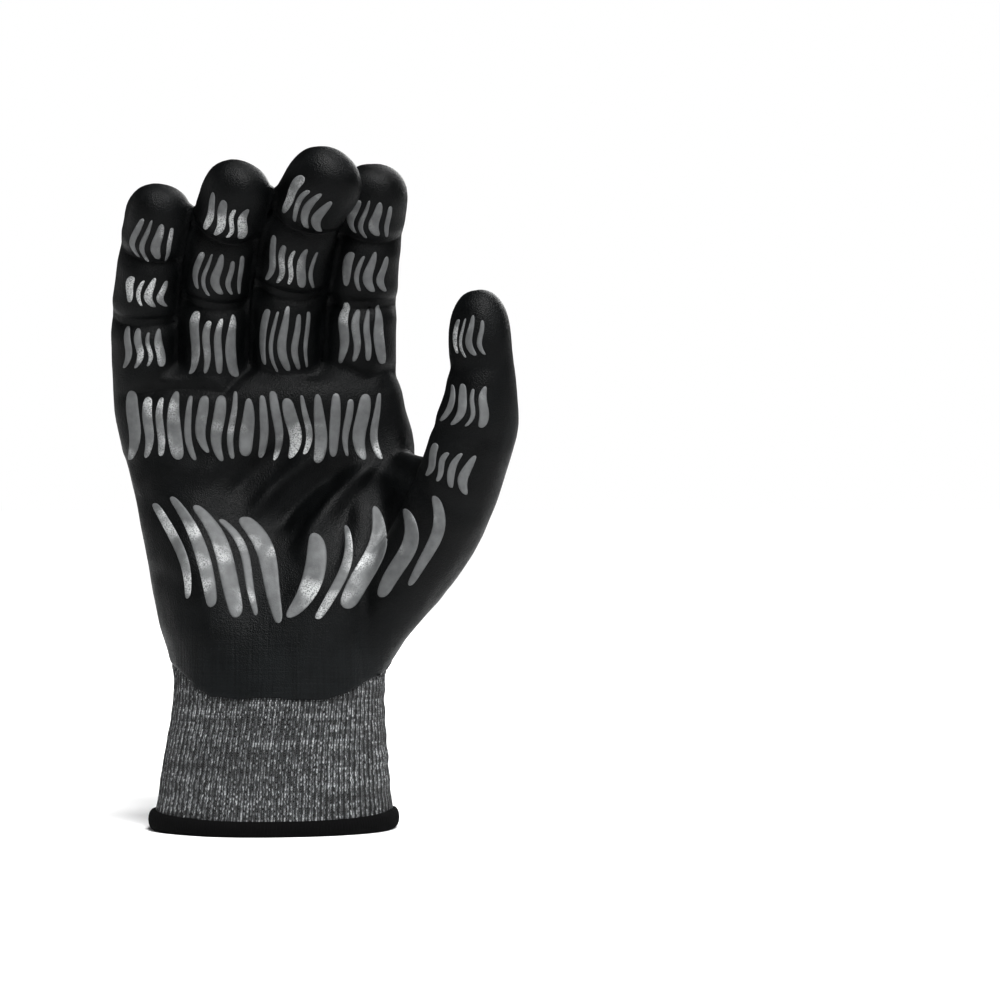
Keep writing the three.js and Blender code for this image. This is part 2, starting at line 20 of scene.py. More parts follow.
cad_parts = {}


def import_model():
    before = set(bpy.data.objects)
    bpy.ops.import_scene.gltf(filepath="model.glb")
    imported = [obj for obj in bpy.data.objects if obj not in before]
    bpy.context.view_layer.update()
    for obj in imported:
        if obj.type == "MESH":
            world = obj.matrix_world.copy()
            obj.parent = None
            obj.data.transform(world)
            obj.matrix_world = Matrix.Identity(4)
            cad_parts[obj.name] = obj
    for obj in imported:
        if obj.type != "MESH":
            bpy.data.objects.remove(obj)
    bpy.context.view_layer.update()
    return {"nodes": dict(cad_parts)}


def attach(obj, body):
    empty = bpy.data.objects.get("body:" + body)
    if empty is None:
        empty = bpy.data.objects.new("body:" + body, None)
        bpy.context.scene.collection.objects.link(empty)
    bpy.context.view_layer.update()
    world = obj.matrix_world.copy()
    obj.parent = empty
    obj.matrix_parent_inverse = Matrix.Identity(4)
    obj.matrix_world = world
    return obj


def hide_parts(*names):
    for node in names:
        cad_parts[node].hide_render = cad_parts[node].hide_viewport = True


LOG = logging.getLogger("glove")
MM = 0.001
BODY = "root"
KNIT_MAP = "knit_run"
ROUND = 2 * math.pi
# A share under the first moves nothing, and a value under the second lies on the foam's edge.
LEAST_SHARE = 0.01
ON_LINE = 1e-4

Place = tuple[float, float, float]
Colour = tuple[float, float, float]
Onto = Callable[[float, float], Vector | None]

# Driving sizes, as in the part's source.
CUFF_LENGTH = 80.0
WRIST_WIDTH = 77.0
WRIST_DEPTH = 49.0
PALM_LENGTH = 92.0
PALM_WIDTH = 104.0
PALM_DEPTH = 31.0
FINGER_LENGTH = 112.0
FINGER_GIRTH = 24.4
THUMB_GIRTH = 27.0
THUMB_TIP = 0.833
THUMB_TAPER_START = 0.5
KNIT_WALL = 1.4
COAT_RISE = 0.6
HEM_HEIGHT = 7.0
HEM_ROLL = 2.6

# Cuff rows: share of CUFF_LENGTH, left, right (WRIST_WIDTH), front, back (WRIST_DEPTH).
CUFF_ROWS = np.array([
    (-0.08, -0.594, 0.566, -0.604, 0.604),
    (0.16, -0.562, 0.548, -0.575, 0.575),
    (0.35, -0.533, 0.532, -0.542, 0.542),
    (0.52, -0.503, 0.520, -0.512, 0.512),
    (0.67, -0.490, 0.520, -0.496, 0.499),
    (0.80, -0.508, 0.532, -0.459, 0.498),
    (0.93, -0.552, 0.560, -0.395, 0.506),
])
# Palm rows: share of PALM_LENGTH, left, right (PALM_WIDTH), front, back (PALM_DEPTH).
PALM_ROWS = np.array([
    (0.045, -0.430, 0.430, -0.503, 0.839),
    (0.160, -0.448, 0.442, -0.370, 0.887),
    (0.283, -0.470, 0.456, -0.226, 0.926),
    (0.424, -0.496, 0.468, -0.090, 0.942),
    (0.565, -0.525, 0.476, -0.032, 0.942),
    (0.717, -0.550, 0.468, -0.045, 0.926),
    (0.826, -0.560, 0.450, -0.090, 0.897),
    (0.902, -0.560, 0.438, -0.071, 0.839),
    (0.962, -0.538, 0.410, 0.048, 0.726),
    (0.995, -0.490, 0.365, 0.210, 0.565),
])
WRIST_SQUARENESS = 2.0
PALM_SQUARENESS = 2.5
SQUARE_FROM = 0.33

# Mounds of the palm side: x, z, wide, long, rise (shares), turn (degrees).
PALM_MOUNDS = (
    (-0.31, 0.14, 0.125, 0.22, 0.26, 0.0),
    (0.31, 0.16, 0.16, 0.26, 0.46, -20.0),
    (-0.05, 0.81, 0.35, 0.075, 0.08, 0.0),
    (0.02, 0.41, 0.15, 0.17, -0.09, 0.0),
)

# Finger form rows: share of its length, width, front, back (shares of half its girth).
FINGER_ROWS = np.array([
    (-0.04, 0.70, 0.88, 0.92),
    (0.10, 0.93, 0.94, 1.00),
    (0.185, 0.98, 0.90, 1.00),
    (0.25, 1.00, 1.02, 0.99),
    (0.36, 1.00, 1.05, 0.98),
    (0.44, 1.00, 0.95, 1.03),
    (0.49, 0.99, 0.90, 1.04),
    (0.55, 0.99, 1.00, 0.99),
    (0.64, 0.98, 1.03, 0.93),
    (0.72, 0.96, 0.91, 0.93),
    (0.79, 0.97, 0.97, 0.88),
    (0.87, 1.00, 0.98, 0.80),
])
THUMB_ROWS = np.array([
    (0.00, 0.90, 0.80, 0.80),
    (0.14, 0.95, 0.86, 0.84),
    (0.28, 1.05, 1.00, 1.00),
    (0.40, 1.10, 1.08, 1.08),
    (0.52, 1.08, 1.20, 1.04),
    (0.62, 1.02, 1.26, 1.08),
    (0.71, 1.00, 1.20, 1.19),
    (0.77, 0.98, 1.04, 1.03),
    (0.84, 0.96, 0.93, 0.88),
    (0.885, 1.00, 0.98, 0.80),
])
DOME_POWER = 0.84
PHALANX_SHARES = (0.466, 0.297, 0.237)
# Thumb axis: x (PALM_WIDTH), y (PALM_DEPTH), z (PALM_LENGTH past the cuff).
THUMB_AXIS = np.array([
    (0.240, -0.06, -0.24),
    (0.395, -0.38, 0.04),
    (0.550, -0.66, 0.30),
    (0.648, -0.82, 0.54),
    (0.705, -0.95, 0.81),
    (0.706, -1.04, 1.26),
])
THUMB_BACK_TURN = 36.0
# Web rows: z (PALM_LENGTH past the cuff), reach towards the thumb, thickness (PALM_DEPTH).
WEB_ROWS = np.array([
    (-0.10, 0.75, 0.62),
    (0.10, 0.85, 0.62),
    (0.30, 0.90, 0.56),
    (0.46, 0.92, 0.50),
    (0.56, 0.90, 0.40),
    (0.605, 0.84, 0.26),
])
WEB_ROOT = (0.36, 0.36)
WEB_TOP = 0.625

# Folds of the palm side: x0, z0, x1, z1 in millimetres, rise, half width, end fade.
PALM_FOLDS = (
    (-8.0, 117.0, 17.0, 139.0, 2.8, 2.2, 7.0),
    (10.0, 103.0, 36.0, 134.5, 2.9, 2.2, 7.0),
    (0.0, 111.0, 24.0, 133.0, -2.6, 2.5, 7.0),
    (-16.0, 124.0, 6.0, 141.0, -2.1, 2.5, 7.0),
    (-30.0, 128.0, -6.0, 141.5, 1.3, 2.4, 7.0),
    (25.5, 124.0, 19.5, 93.0, -2.2, 3.2, 8.0),
    (-57.0, 158.5, -47.0, 161.0, -1.2, 1.6, 3.0),
    (-47.0, 161.0, -19.0, 160.2, -1.5, 1.6, 3.0),
    (-19.0, 160.2, -7.5, 171.5, -1.3, 1.6, 3.0),
    (-42.0, 164.2, -20.0, 163.8, 0.8, 1.8, 3.0),
    (22.0, 171.0, 33.0, 165.4, -1.4, 1.6, 3.0),
    (33.0, 165.4, 44.0, 170.0, -1.4, 1.6, 3.0),
    (-6.0, 167.5, 18.0, 166.5, -1.0, 1.8, 4.0),
    (40.0, 136.0, 53.0, 126.0, -1.4, 2.8, 5.0),
    (38.0, 131.0, 49.0, 120.0, 0.9, 2.2, 5.0),
    (-46.0, 128.0, -30.0, 134.0, 0.8, 2.4, 5.0),
    (-54.0, 122.0, -36.0, 115.0, -0.8, 2.8, 5.0),
    (-47.0, 96.0, -30.0, 86.0, -0.6, 2.6, 5.0),
    (30.0, 84.0, 46.0, 92.0, -0.7, 2.6, 5.0),
    (-57.0, 139.0, -46.0, 137.0, -0.6, 1.8, 4.0),
)
# Joint creases across each finger: share, depth, half width, bow towards the tip.
FINGER_CREASES = (
    (0.470, 1.5, 2.4, 1.2),
    (0.462, 0.5, 0.7, 1.4),
    (0.492, 0.4, 0.7, 1.0),
    (0.735, 1.3, 2.1, 1.0),
    (0.732, 0.5, 0.7, 1.2),
)
THUMB_CREASES = (
    (0.50, 0.5, 2.4, 1.0),
    (0.665, 0.4, 2.0, 1.0),
    (0.820, 0.5, 2.0, 1.0),
)


@dataclass(frozen=True)
class FingerShape:
    """One finger: knuckle place, sizes and bends, as in the part's source."""

    x: float
    z: float
    length: float
    width: float
    tip: float
    depth: float
    curl: tuple[float, float, float]
    lean: tuple[float, float, float]
    y: float = 0.42


class Digit(Enum):
    """The five digits, from the little finger to the thumb."""

    LITTLE = 0
    RING = 1
    MIDDLE = 2
    INDEX = 3
    THUMB = 4


FINGERS = {
    Digit.LITTLE: FingerShape(-0.463, 0.674, 0.875, 0.967, 0.955, 0.926, (8, 20, 30),
                              (-0.5, 6.2, 12.5)),
    Digit.RING: FingerShape(-0.231, 0.712, 0.955, 0.967, 1.008, 0.967, (12, 28, 42), (2, 8, 17)),
    Digit.MIDDLE: FingerShape(0.021, 0.739, 1.0, 1.0, 1.107, 1.0, (13, 32, 46), (2.4, 12, 28)),
    Digit.INDEX: FingerShape(0.296, 0.739, 0.888, 1.115, 0.967, 0.984, (7, 18, 28), (0.5, 6, 7)),
}


def palm_z(share: float | np.ndarray) -> float | np.ndarray:
    """Height of a share of the palm's length past the cuff."""
    return CUFF_LENGTH + share * PALM_LENGTH


def smoothstep(value: np.ndarray, low: float, high: float) -> np.ndarray:
    """Eases from 0 at low to 1 at high."""
    share = np.clip((value - low) / (high - low), 0.0, 1.0)
    return share * share * (3.0 - 2.0 * share)


def read_table(rows: np.ndarray, at: np.ndarray) -> np.ndarray:
    """Reads a table between its rows on a smooth curve.

    Args:
        rows: one row a line, with its place in the first column.
        at: the places to read.

    Returns:
        The other columns at those places, one row for each.
    """
    knots, values = rows[:, 0], rows[:, 1:]
    slopes = np.gradient(values, knots, axis=0)
    index = np.clip(np.searchsorted(knots, at, side="right") - 1, 0, len(knots) - 2)
    step = (knots[index + 1] - knots[index])[:, None]
    t = np.clip((at - knots[index])[:, None] / step, 0.0, 1.0)
    return ((1 + 2 * t) * (1 - t) ** 2 * values[index]
            + t * (1 - t) ** 2 * step * slopes[index]
            + t * t * (3 - 2 * t) * values[index + 1]
            + t * t * (t - 1) * step * slopes[index + 1])


def unit(vectors: np.ndarray) -> np.ndarray:
    """Scales vectors to length one."""
    return vectors / np.maximum(np.linalg.norm(vectors, axis=-1, keepdims=True), 1e-9)


class Axis:
    """A smooth line through the joints of a finger or the thumb."""

    SAMPLES = 161

    def __init__(self, joints: np.ndarray, back_way: np.ndarray) -> None:
        """Lays the line and measures it.

        Args:
            joints: the points that it passes through, in millimetres.
            back_way: the way out of the digit's back.
        """
        line = self._through(joints)
        steps = np.r_[0.0, np.cumsum(np.linalg.norm(np.diff(line, axis=0), axis=1))]
        self.length = float(steps[-1])
        even = np.linspace(0.0, self.length, self.SAMPLES)
        self.points = np.stack([np.interp(even, steps, line[:, i]) for i in range(3)], axis=1)
        self.tangents = unit(np.gradient(self.points, axis=0))
        self.back_way = back_way

    @staticmethod
    def _through(joints: np.ndarray, pieces: int = 40) -> np.ndarray:
        """Centripetal curve through the joints, as a dense line.

        Args:
            joints: the points.
            pieces: steps between two of them.

        Returns:
            The points of the line.
        """
        ends = np.vstack([2 * joints[0] - joints[1], joints, 2 * joints[-1] - joints[-2]])
        line = [joints[:1]]
        for before, start, end, after in zip(ends, ends[1:], ends[2:], ends[3:]):
            gaps = [math.sqrt(np.linalg.norm(b - a)) for a, b in
                    ((before, start), (start, end), (end, after))]
            out = ((start - before) / gaps[0] - (end - before) / (gaps[0] + gaps[1])
                   + (end - start) / gaps[1]) * gaps[1]
            into = ((end - start) / gaps[1] - (after - start) / (gaps[1] + gaps[2])
                    + (after - end) / gaps[2]) * gaps[1]
            t = np.linspace(0, 1, pieces + 1)[1:, None]
            line.append(start + out * t + (3 * (end - start) - 2 * out - into) * t * t
                        + (2 * (start - end) + out + into) * t ** 3)
        return np.vstack(line)

    def frames(self, share: np.ndarray) -> tuple[np.ndarray, np.ndarray, np.ndarray, np.ndarray]:
        """Centres and directions at shares of the line, straight on below 0.

        Args:
            share: places along the line, 0 to 1.

        Returns:
            Centres, tangents, ways out of the back and ways to the side.
        """
        inside = np.clip(share, 0.0, 1.0)
        grid = np.linspace(0, 1, self.SAMPLES)
        centre = np.stack([np.interp(inside, grid, self.points[:, i]) for i in range(3)], axis=-1)
        tangent = unit(np.stack([np.interp(inside, grid, self.tangents[:, i])
                                 for i in range(3)], axis=-1))
        centre = centre + tangent * ((share - inside) * self.length)[:, None]
        back = unit(self.back_way - tangent * (tangent @ self.back_way)[:, None])
        return centre, tangent, back, np.cross(back, tangent)

    def locate(self, points: np.ndarray) -> tuple[np.ndarray, np.ndarray, np.ndarray]:
        """Places points along and around the line.

        Args:
            points: places in millimetres.

        Returns:
            Share along the line, millimetres to the side and millimetres towards the back.
        """
        crossed = points @ self.points.T
        gap = (self.points ** 2).sum(axis=1)[None, :] - 2 * crossed
        nearest = gap.argmin(axis=1)
        along = ((points - self.points[nearest]) * self.tangents[nearest]).sum(axis=1)
        share = nearest / (self.SAMPLES - 1) + along / self.length
        centre, _, back, side = self.frames(share)
        offset = points - centre
        return share, (offset * side).sum(axis=1), (offset * back).sum(axis=1)


def ring_faces(rows: int, count: int, first: int = 0, inwards: bool = False) -> list[tuple]:
    """Lists the faces between neighbouring closed rings of points.

    Args:
        rows: the number of rings.
        count: the points in each ring.
        first: the number of the first point.
        inwards: whether the faces look inwards.

    Returns:
        Four corner numbers for each face, ring by ring.
    """
    faces = []
    for row in range(rows - 1):
        low = first + row * count
        for here in range(count):
            after = (here + 1) % count
            face = (low + here, low + after, low + count + after, low + count + here)
            faces.append(face[::-1] if inwards else face)
    return faces


def loft(rings: np.ndarray, start: np.ndarray, end: np.ndarray) -> tuple[np.ndarray, list]:
    """Closes equal rings into a surface with a point at each end.

    Args:
        rings: rows of rings of points.
        start: the point before the first ring.
        end: the point after the last ring.

    Returns:
        Vertices and faces.
    """
    count, sides = rings.shape[:2]
    verts = np.vstack([rings.reshape(-1, 3), start[None], end[None]])
    here = np.arange(sides)
    after = (here + 1) % sides
    faces = [(count * sides, int(b), int(a)) for a, b in zip(here, after)]
    top = (count - 1) * sides
    faces += [(count * sides + 1, int(top + a), int(top + b)) for a, b in zip(here, after)]
    return verts, faces + ring_faces(count, sides)


@dataclass
class HandForm:
    """The bare form of the glove: palm, web, four fingers and thumb in one skin."""

    body_sides: int = 96
    body_rows: int = 90
    body_low: float = -6.4
    body_high: float = 0.995
    digit_sides: int = 40
    digit_rows: int = 36
    web_sides: int = 40
    web_rows: int = 22
    dome_from: float = 8.0
    dome_to: float = 86.0
    dome_step: float = 7.0
    voxel: float = 0.62
    axes: dict[Digit, Axis] = field(default_factory=dict)

    def __post_init__(self) -> None:
        """Lays the five axes."""
        for digit, shape in FINGERS.items():
            joints = [np.array([shape.x * PALM_WIDTH, shape.y * PALM_DEPTH, palm_z(shape.z)])]
            for share, curl, lean in zip(PHALANX_SHARES, shape.curl, shape.lean):
                bend, sway = math.radians(curl), math.radians(lean)
                way = np.array([math.sin(sway), -math.sin(bend) * math.cos(sway),
                                math.cos(bend) * math.cos(sway)])
                joints.append(joints[-1] + way * share * shape.length * FINGER_LENGTH)
            self.axes[digit] = Axis(np.array(joints), np.array([0.0, 1.0, 0.0]))
        turn = math.radians(THUMB_BACK_TURN)
        joints = np.stack([THUMB_AXIS[:, 0] * PALM_WIDTH, THUMB_AXIS[:, 1] * PALM_DEPTH,
                           palm_z(THUMB_AXIS[:, 2])], axis=1)
        self.axes[Digit.THUMB] = Axis(joints, np.array([math.cos(turn), math.sin(turn), 0.0]))

    def girth(self, digit: Digit, share: np.ndarray) -> np.ndarray:
        """Millimetres across a digit at shares of its length.

        Args:
            digit: the digit.
            share: places along it, 0 to 1.

        Returns:
            Its width at each place.
        """
        share = np.clip(share, 0.0, 1.0)
        if digit is Digit.THUMB:
            return THUMB_GIRTH * (1 + (THUMB_TIP - 1) * smoothstep(share, THUMB_TAPER_START, 1.0))
        shape = FINGERS[digit]
        return FINGER_GIRTH * (shape.width + (shape.tip - shape.width) * share)

    def body_rings(self, heights: np.ndarray) -> np.ndarray:
        """Sections of the cuff and palm at given heights.

        Args:
            heights: millimetres above the wrist opening.

        Returns:
            One ring of points for each height.
        """
        cuff = CUFF_ROWS * (CUFF_LENGTH, WRIST_WIDTH, WRIST_WIDTH, WRIST_DEPTH, WRIST_DEPTH)
        palm = PALM_ROWS * (PALM_LENGTH, PALM_WIDTH, PALM_WIDTH, PALM_DEPTH, PALM_DEPTH)
        palm[:, 0] += CUFF_LENGTH
        left, right, front, back = read_table(np.vstack([cuff, palm]), heights).T
        square = np.clip((heights - CUFF_LENGTH) / (PALM_LENGTH * SQUARE_FROM), 0.0, 1.0)
        power = (2.0 / (WRIST_SQUARENESS + (PALM_SQUARENESS - WRIST_SQUARENESS) * square))[:, None]
        angle = np.arange(self.body_sides) / self.body_sides * ROUND
        across, deep = np.cos(angle), np.sin(angle)
        x = ((left + right) / 2)[:, None] + ((right - left) / 2)[:, None] \
            * np.sign(across) * np.abs(across) ** power
        y = ((front + back) / 2)[:, None] + ((back - front) / 2)[:, None] \
            * np.sign(deep) * np.abs(deep) ** power
        z = np.repeat(heights[:, None], self.body_sides, axis=1)
        middle = y.mean(axis=1, keepdims=True)
        forward = np.clip((middle - y) / (middle - y.min(axis=1, keepdims=True)), 0.0, 1.0)
        y = y - self._mounds(x, z) * forward * forward * (3 - 2 * forward)
        return np.stack([x, y, z], axis=2)

    @staticmethod
    def _mounds(x: np.ndarray, z: np.ndarray) -> np.ndarray:
        """Millimetres that the mounds push the palm side forward.

        Args:
            x: places across.
            z: places up the hand.

        Returns:
            The push at each place.
        """
        total = np.zeros_like(x)
        for mound_x, mound_z, wide, long, rise, turn in PALM_MOUNDS:
            angle = math.radians(turn)
            dx, dz = x - mound_x * PALM_WIDTH, z - palm_z(mound_z)
            across = (dx * math.cos(angle) + dz * math.sin(angle)) / (wide * PALM_WIDTH)
            along = (dz * math.cos(angle) - dx * math.sin(angle)) / (long * PALM_LENGTH)
            total += rise * PALM_DEPTH * np.exp(-0.5 * (across ** 2 + along ** 2))
        return total

    def _digit_mesh(self, digit: Digit) -> tuple[np.ndarray, list]:
        """The closed skin of one digit.

        Args:
            digit: the digit.

        Returns:
            Vertices and faces.
        """
        rows = THUMB_ROWS if digit is Digit.THUMB else FINGER_ROWS
        depth = 1.0 if digit is Digit.THUMB else FINGERS[digit].depth
        dome = rows[-1, 0]
        at = np.linspace(rows[0, 0], dome, self.digit_rows)
        width, front, back = read_table(rows, at).T
        swell = np.ones_like(at)
        steps = np.radians(np.arange(self.dome_from, self.dome_to, self.dome_step))
        at = np.r_[at, dome + (1 - dome) * np.sin(steps) ** DOME_POWER]
        width, front, back = (np.r_[column, np.full(len(steps), column[-1])]
                              for column in (width, front, back))
        swell = np.r_[swell, np.cos(steps) ** DOME_POWER]
        centre, _, out, side = self.axes[digit].frames(at)
        half = self.girth(digit, at) / 2
        deep = half if digit is Digit.THUMB else np.full_like(at, FINGER_GIRTH * depth / 2)
        angle = np.arange(self.digit_sides) / self.digit_sides * ROUND
        across, up = np.cos(angle)[None, :, None], np.sin(angle)[None, :]
        lift = np.where(up > 0, (deep * swell * back)[:, None], (deep * swell * front)[:, None]) * up
        rings = (centre[:, None] + side[:, None] * (half * width * swell)[:, None, None] * across
                 + out[:, None] * lift[:, :, None])
        return loft(rings, rings[0].mean(axis=0), self.axes[digit].points[-1])

    def _web_mesh(self) -> tuple[np.ndarray, list]:
        """The web of skin between the palm and the thumb.

        Returns:
            Vertices and faces.
        """
        at = np.linspace(WEB_ROWS[0, 0], WEB_ROWS[-1, 0], self.web_rows)
        reach, thick = read_table(WEB_ROWS, at).T
        heights = palm_z(at)
        line = self.axes[Digit.THUMB].points
        thumb = np.stack([np.interp(heights, line[:, 2], line[:, 0]),
                          np.interp(heights, line[:, 2], line[:, 1])], axis=1)
        root = np.array([WEB_ROOT[0] * PALM_WIDTH, WEB_ROOT[1] * PALM_DEPTH])
        end = root + (thumb - root) * reach[:, None]
        way = (end - root) / 2
        normal = unit(np.stack([-way[:, 1], way[:, 0]], axis=1)) * (thick * PALM_DEPTH / 2)[:, None]
        angle = np.arange(self.web_sides) / self.web_sides * ROUND
        flat = ((root + end) / 2)[:, None] + way[:, None] * np.cos(angle)[None, :, None] \
            + normal[:, None] * np.sin(angle)[None, :, None]
        rings = np.dstack([flat, np.repeat(heights[:, None], self.web_sides, axis=1)])
        top = rings[-1].mean(axis=0)
        top[2] = palm_z(WEB_TOP)
        return loft(rings, rings[0].mean(axis=0), top)

    def skin(self) -> "Skin":
        """Joins the forms into one even skin.

        Returns:
            The skin, with a face about every voxel.
        """
        heights = np.linspace(self.body_low, palm_z(self.body_high), self.body_rows)
        rings = self.body_rings(heights)
        top = rings[-1].mean(axis=0)
        top[2] = palm_z(1.0)
        parts = [loft(rings, rings[0].mean(axis=0), top), self._web_mesh()]
        parts += [self._digit_mesh(digit) for digit in Digit]
        verts, faces, total = [], [], 0
        for part_verts, part_faces in parts:
            verts.append(part_verts)
            faces += [tuple(i + total for i in face) for face in part_faces]
            total += len(part_verts)
        whole = new_object("hand_form", np.vstack(verts), faces)
        remesh = whole.modifiers.new("skin", "REMESH")
        remesh.mode = "VOXEL"
        remesh.voxel_size = self.voxel * MM
        apply_modifiers(whole)
        return Skin.taken_from(whole)


def put_in(name: str, data: bpy.types.ID) -> bpy.types.Object:
    """Makes an object of a mesh, light or camera and links it to the scene.

    Args:
        name: its name.
        data: the mesh, light or camera.

    Returns:
        The object.
    """
    made = bpy.data.objects.new(name, data)
    bpy.context.scene.collection.objects.link(made)
    return made


def new_object(name: str, verts: np.ndarray, faces: list) -> bpy.types.Object:
    """Makes a mesh object from millimetre points.

    Args:
        name: its name.
        verts: places in millimetres.
        faces: corner numbers of each face.

    Returns:
        The object, linked to the scene and smooth shaded.
    """
    mesh = bpy.data.meshes.new(name)
    mesh.from_pydata((np.asarray(verts) * MM).tolist(), [], faces)
    mesh.update()
    mesh.polygons.foreach_set("use_smooth", [True] * len(mesh.polygons))
    return put_in(name, mesh)


def pick(chosen: bpy.types.Object) -> None:
    """Selects one object alone and makes it active."""
    bpy.ops.object.select_all(action="DESELECT")
    chosen.select_set(True)
    bpy.context.view_layer.objects.active = chosen


def apply_modifiers(chosen: bpy.types.Object) -> None:
    """Applies all the modifiers of an object."""
    pick(chosen)
    for modifier in list(chosen.modifiers):
        bpy.ops.object.modifier_apply(modifier=modifier.name)


def thin_faces(piece: bpy.types.Object, keep: float) -> None:
    """Leaves a share of a piece's faces, with the most where the form bends.

    Args:
        piece: the mesh object.
        keep: the share that stays.
    """
    thin = piece.modifiers.new("thin", "DECIMATE")
    thin.ratio = keep
    apply_modifiers(piece)


@dataclass
class Skin:
    """A triangle or quad surface as arrays, in millimetres."""

    points: np.ndarray
    faces: np.ndarray
    edges: np.ndarray

    @classmethod
    def read(cls, mesh: bpy.types.Mesh, unit_size: float) -> "Skin":
        """Reads a mesh of triangles and removes it.

        Args:
            mesh: the mesh.
            unit_size: what one millimetre is in it.

        Returns:
            The skin.
        """
        points = np.empty(len(mesh.vertices) * 3)
        mesh.vertices.foreach_get("co", points)
        faces = np.empty(len(mesh.polygons) * 3, dtype=np.int64)
        mesh.polygons.foreach_get("vertices", faces)
        edges = np.empty(len(mesh.edges) * 2, dtype=np.int64)
        mesh.edges.foreach_get("vertices", edges)
        bpy.data.meshes.remove(mesh)
        return cls(points.reshape(-1, 3) / unit_size, faces.reshape(-1, 3), edges.reshape(-1, 2))

    @classmethod
    def taken_from(cls, source: bpy.types.Object) -> "Skin":
        """Reads an object's mesh as triangles and removes the object.

        Args:
            source: the mesh object.

        Returns:
            The skin.
        """
        mesh = source.data
        work = bmesh.new()
        work.from_mesh(mesh)
        bmesh.ops.triangulate(work, faces=work.faces)
        work.to_mesh(mesh)
        work.free()
        bpy.data.objects.remove(source)
        return cls.read(mesh, MM)

    def neighbour_mean(self, values: np.ndarray) -> np.ndarray:
        """Mean of each vertex's neighbours, for one or more columns.

        Args:
            values: a row for each vertex.

        Returns:
            The means, in the same form.
        """
        start, end = self.edges.T
        count = np.bincount(start, minlength=len(self.points)) \
            + np.bincount(end, minlength=len(self.points))
        columns = values.reshape(len(self.points), -1)
        total = np.stack([np.bincount(start, column[end], len(self.points))
                          + np.bincount(end, column[start], len(self.points))
                          for column in columns.T], axis=1)
        return (total / np.maximum(count, 1)[:, None]).reshape(values.shape)

    def normals(self) -> np.ndarray:
        """Vertex normals, weighted by area.

        Returns:
            One unit vector for each vertex.
        """
        a, b, c = (self.points[self.faces[:, i]] for i in range(3))
        face = np.cross(b - a, c - a)
        total = np.zeros_like(self.points)
        for i in range(3):
            for axis in range(3):
                total[:, axis] += np.bincount(self.faces[:, i], face[:, axis], len(self.points))
        return unit(total)

    def relax(self, rounds: int, weight: np.ndarray | float = 1.0, pull: float = 0.5) -> None:
        """Moves points towards their neighbours' mean.

        Args:
            rounds: how many times.
            weight: share of the move for each point.
            pull: share of the way in each round.
        """
        share = np.broadcast_to(np.asarray(weight, float), len(self.points))
        live = share > LEAST_SHARE
        edges = self.edges[live[self.edges].any(axis=1)]
        used, flat = np.unique(edges, return_inverse=True)
        part = Skin(self.points[used], self.faces[:0], flat.reshape(-1, 2))
        pulls = (np.where(live, share, 0.0)[used] * pull)[:, None]
        for _ in range(rounds):
            part.points = part.points + pulls * (part.neighbour_mean(part.points) - part.points)
        self.points[used] = part.points

    def smooth_values(self, values: np.ndarray, rounds: int,
                      weight: np.ndarray | float = 1.0) -> np.ndarray:
        """Evens out a value over the surface, more where the weight is high.

        Args:
            values: one for each vertex.
            rounds: how many times.
            weight: share of the change for each vertex.

        Returns:
            The evened values.
        """
        for _ in range(rounds):
            values = values + 0.5 * weight * (self.neighbour_mean(values) - values)
        return values

    def tree(self) -> BVHTree:
        """Search tree for rays and nearest points."""
        return BVHTree.FromPolygons(self.points.tolist(), self.faces.tolist())


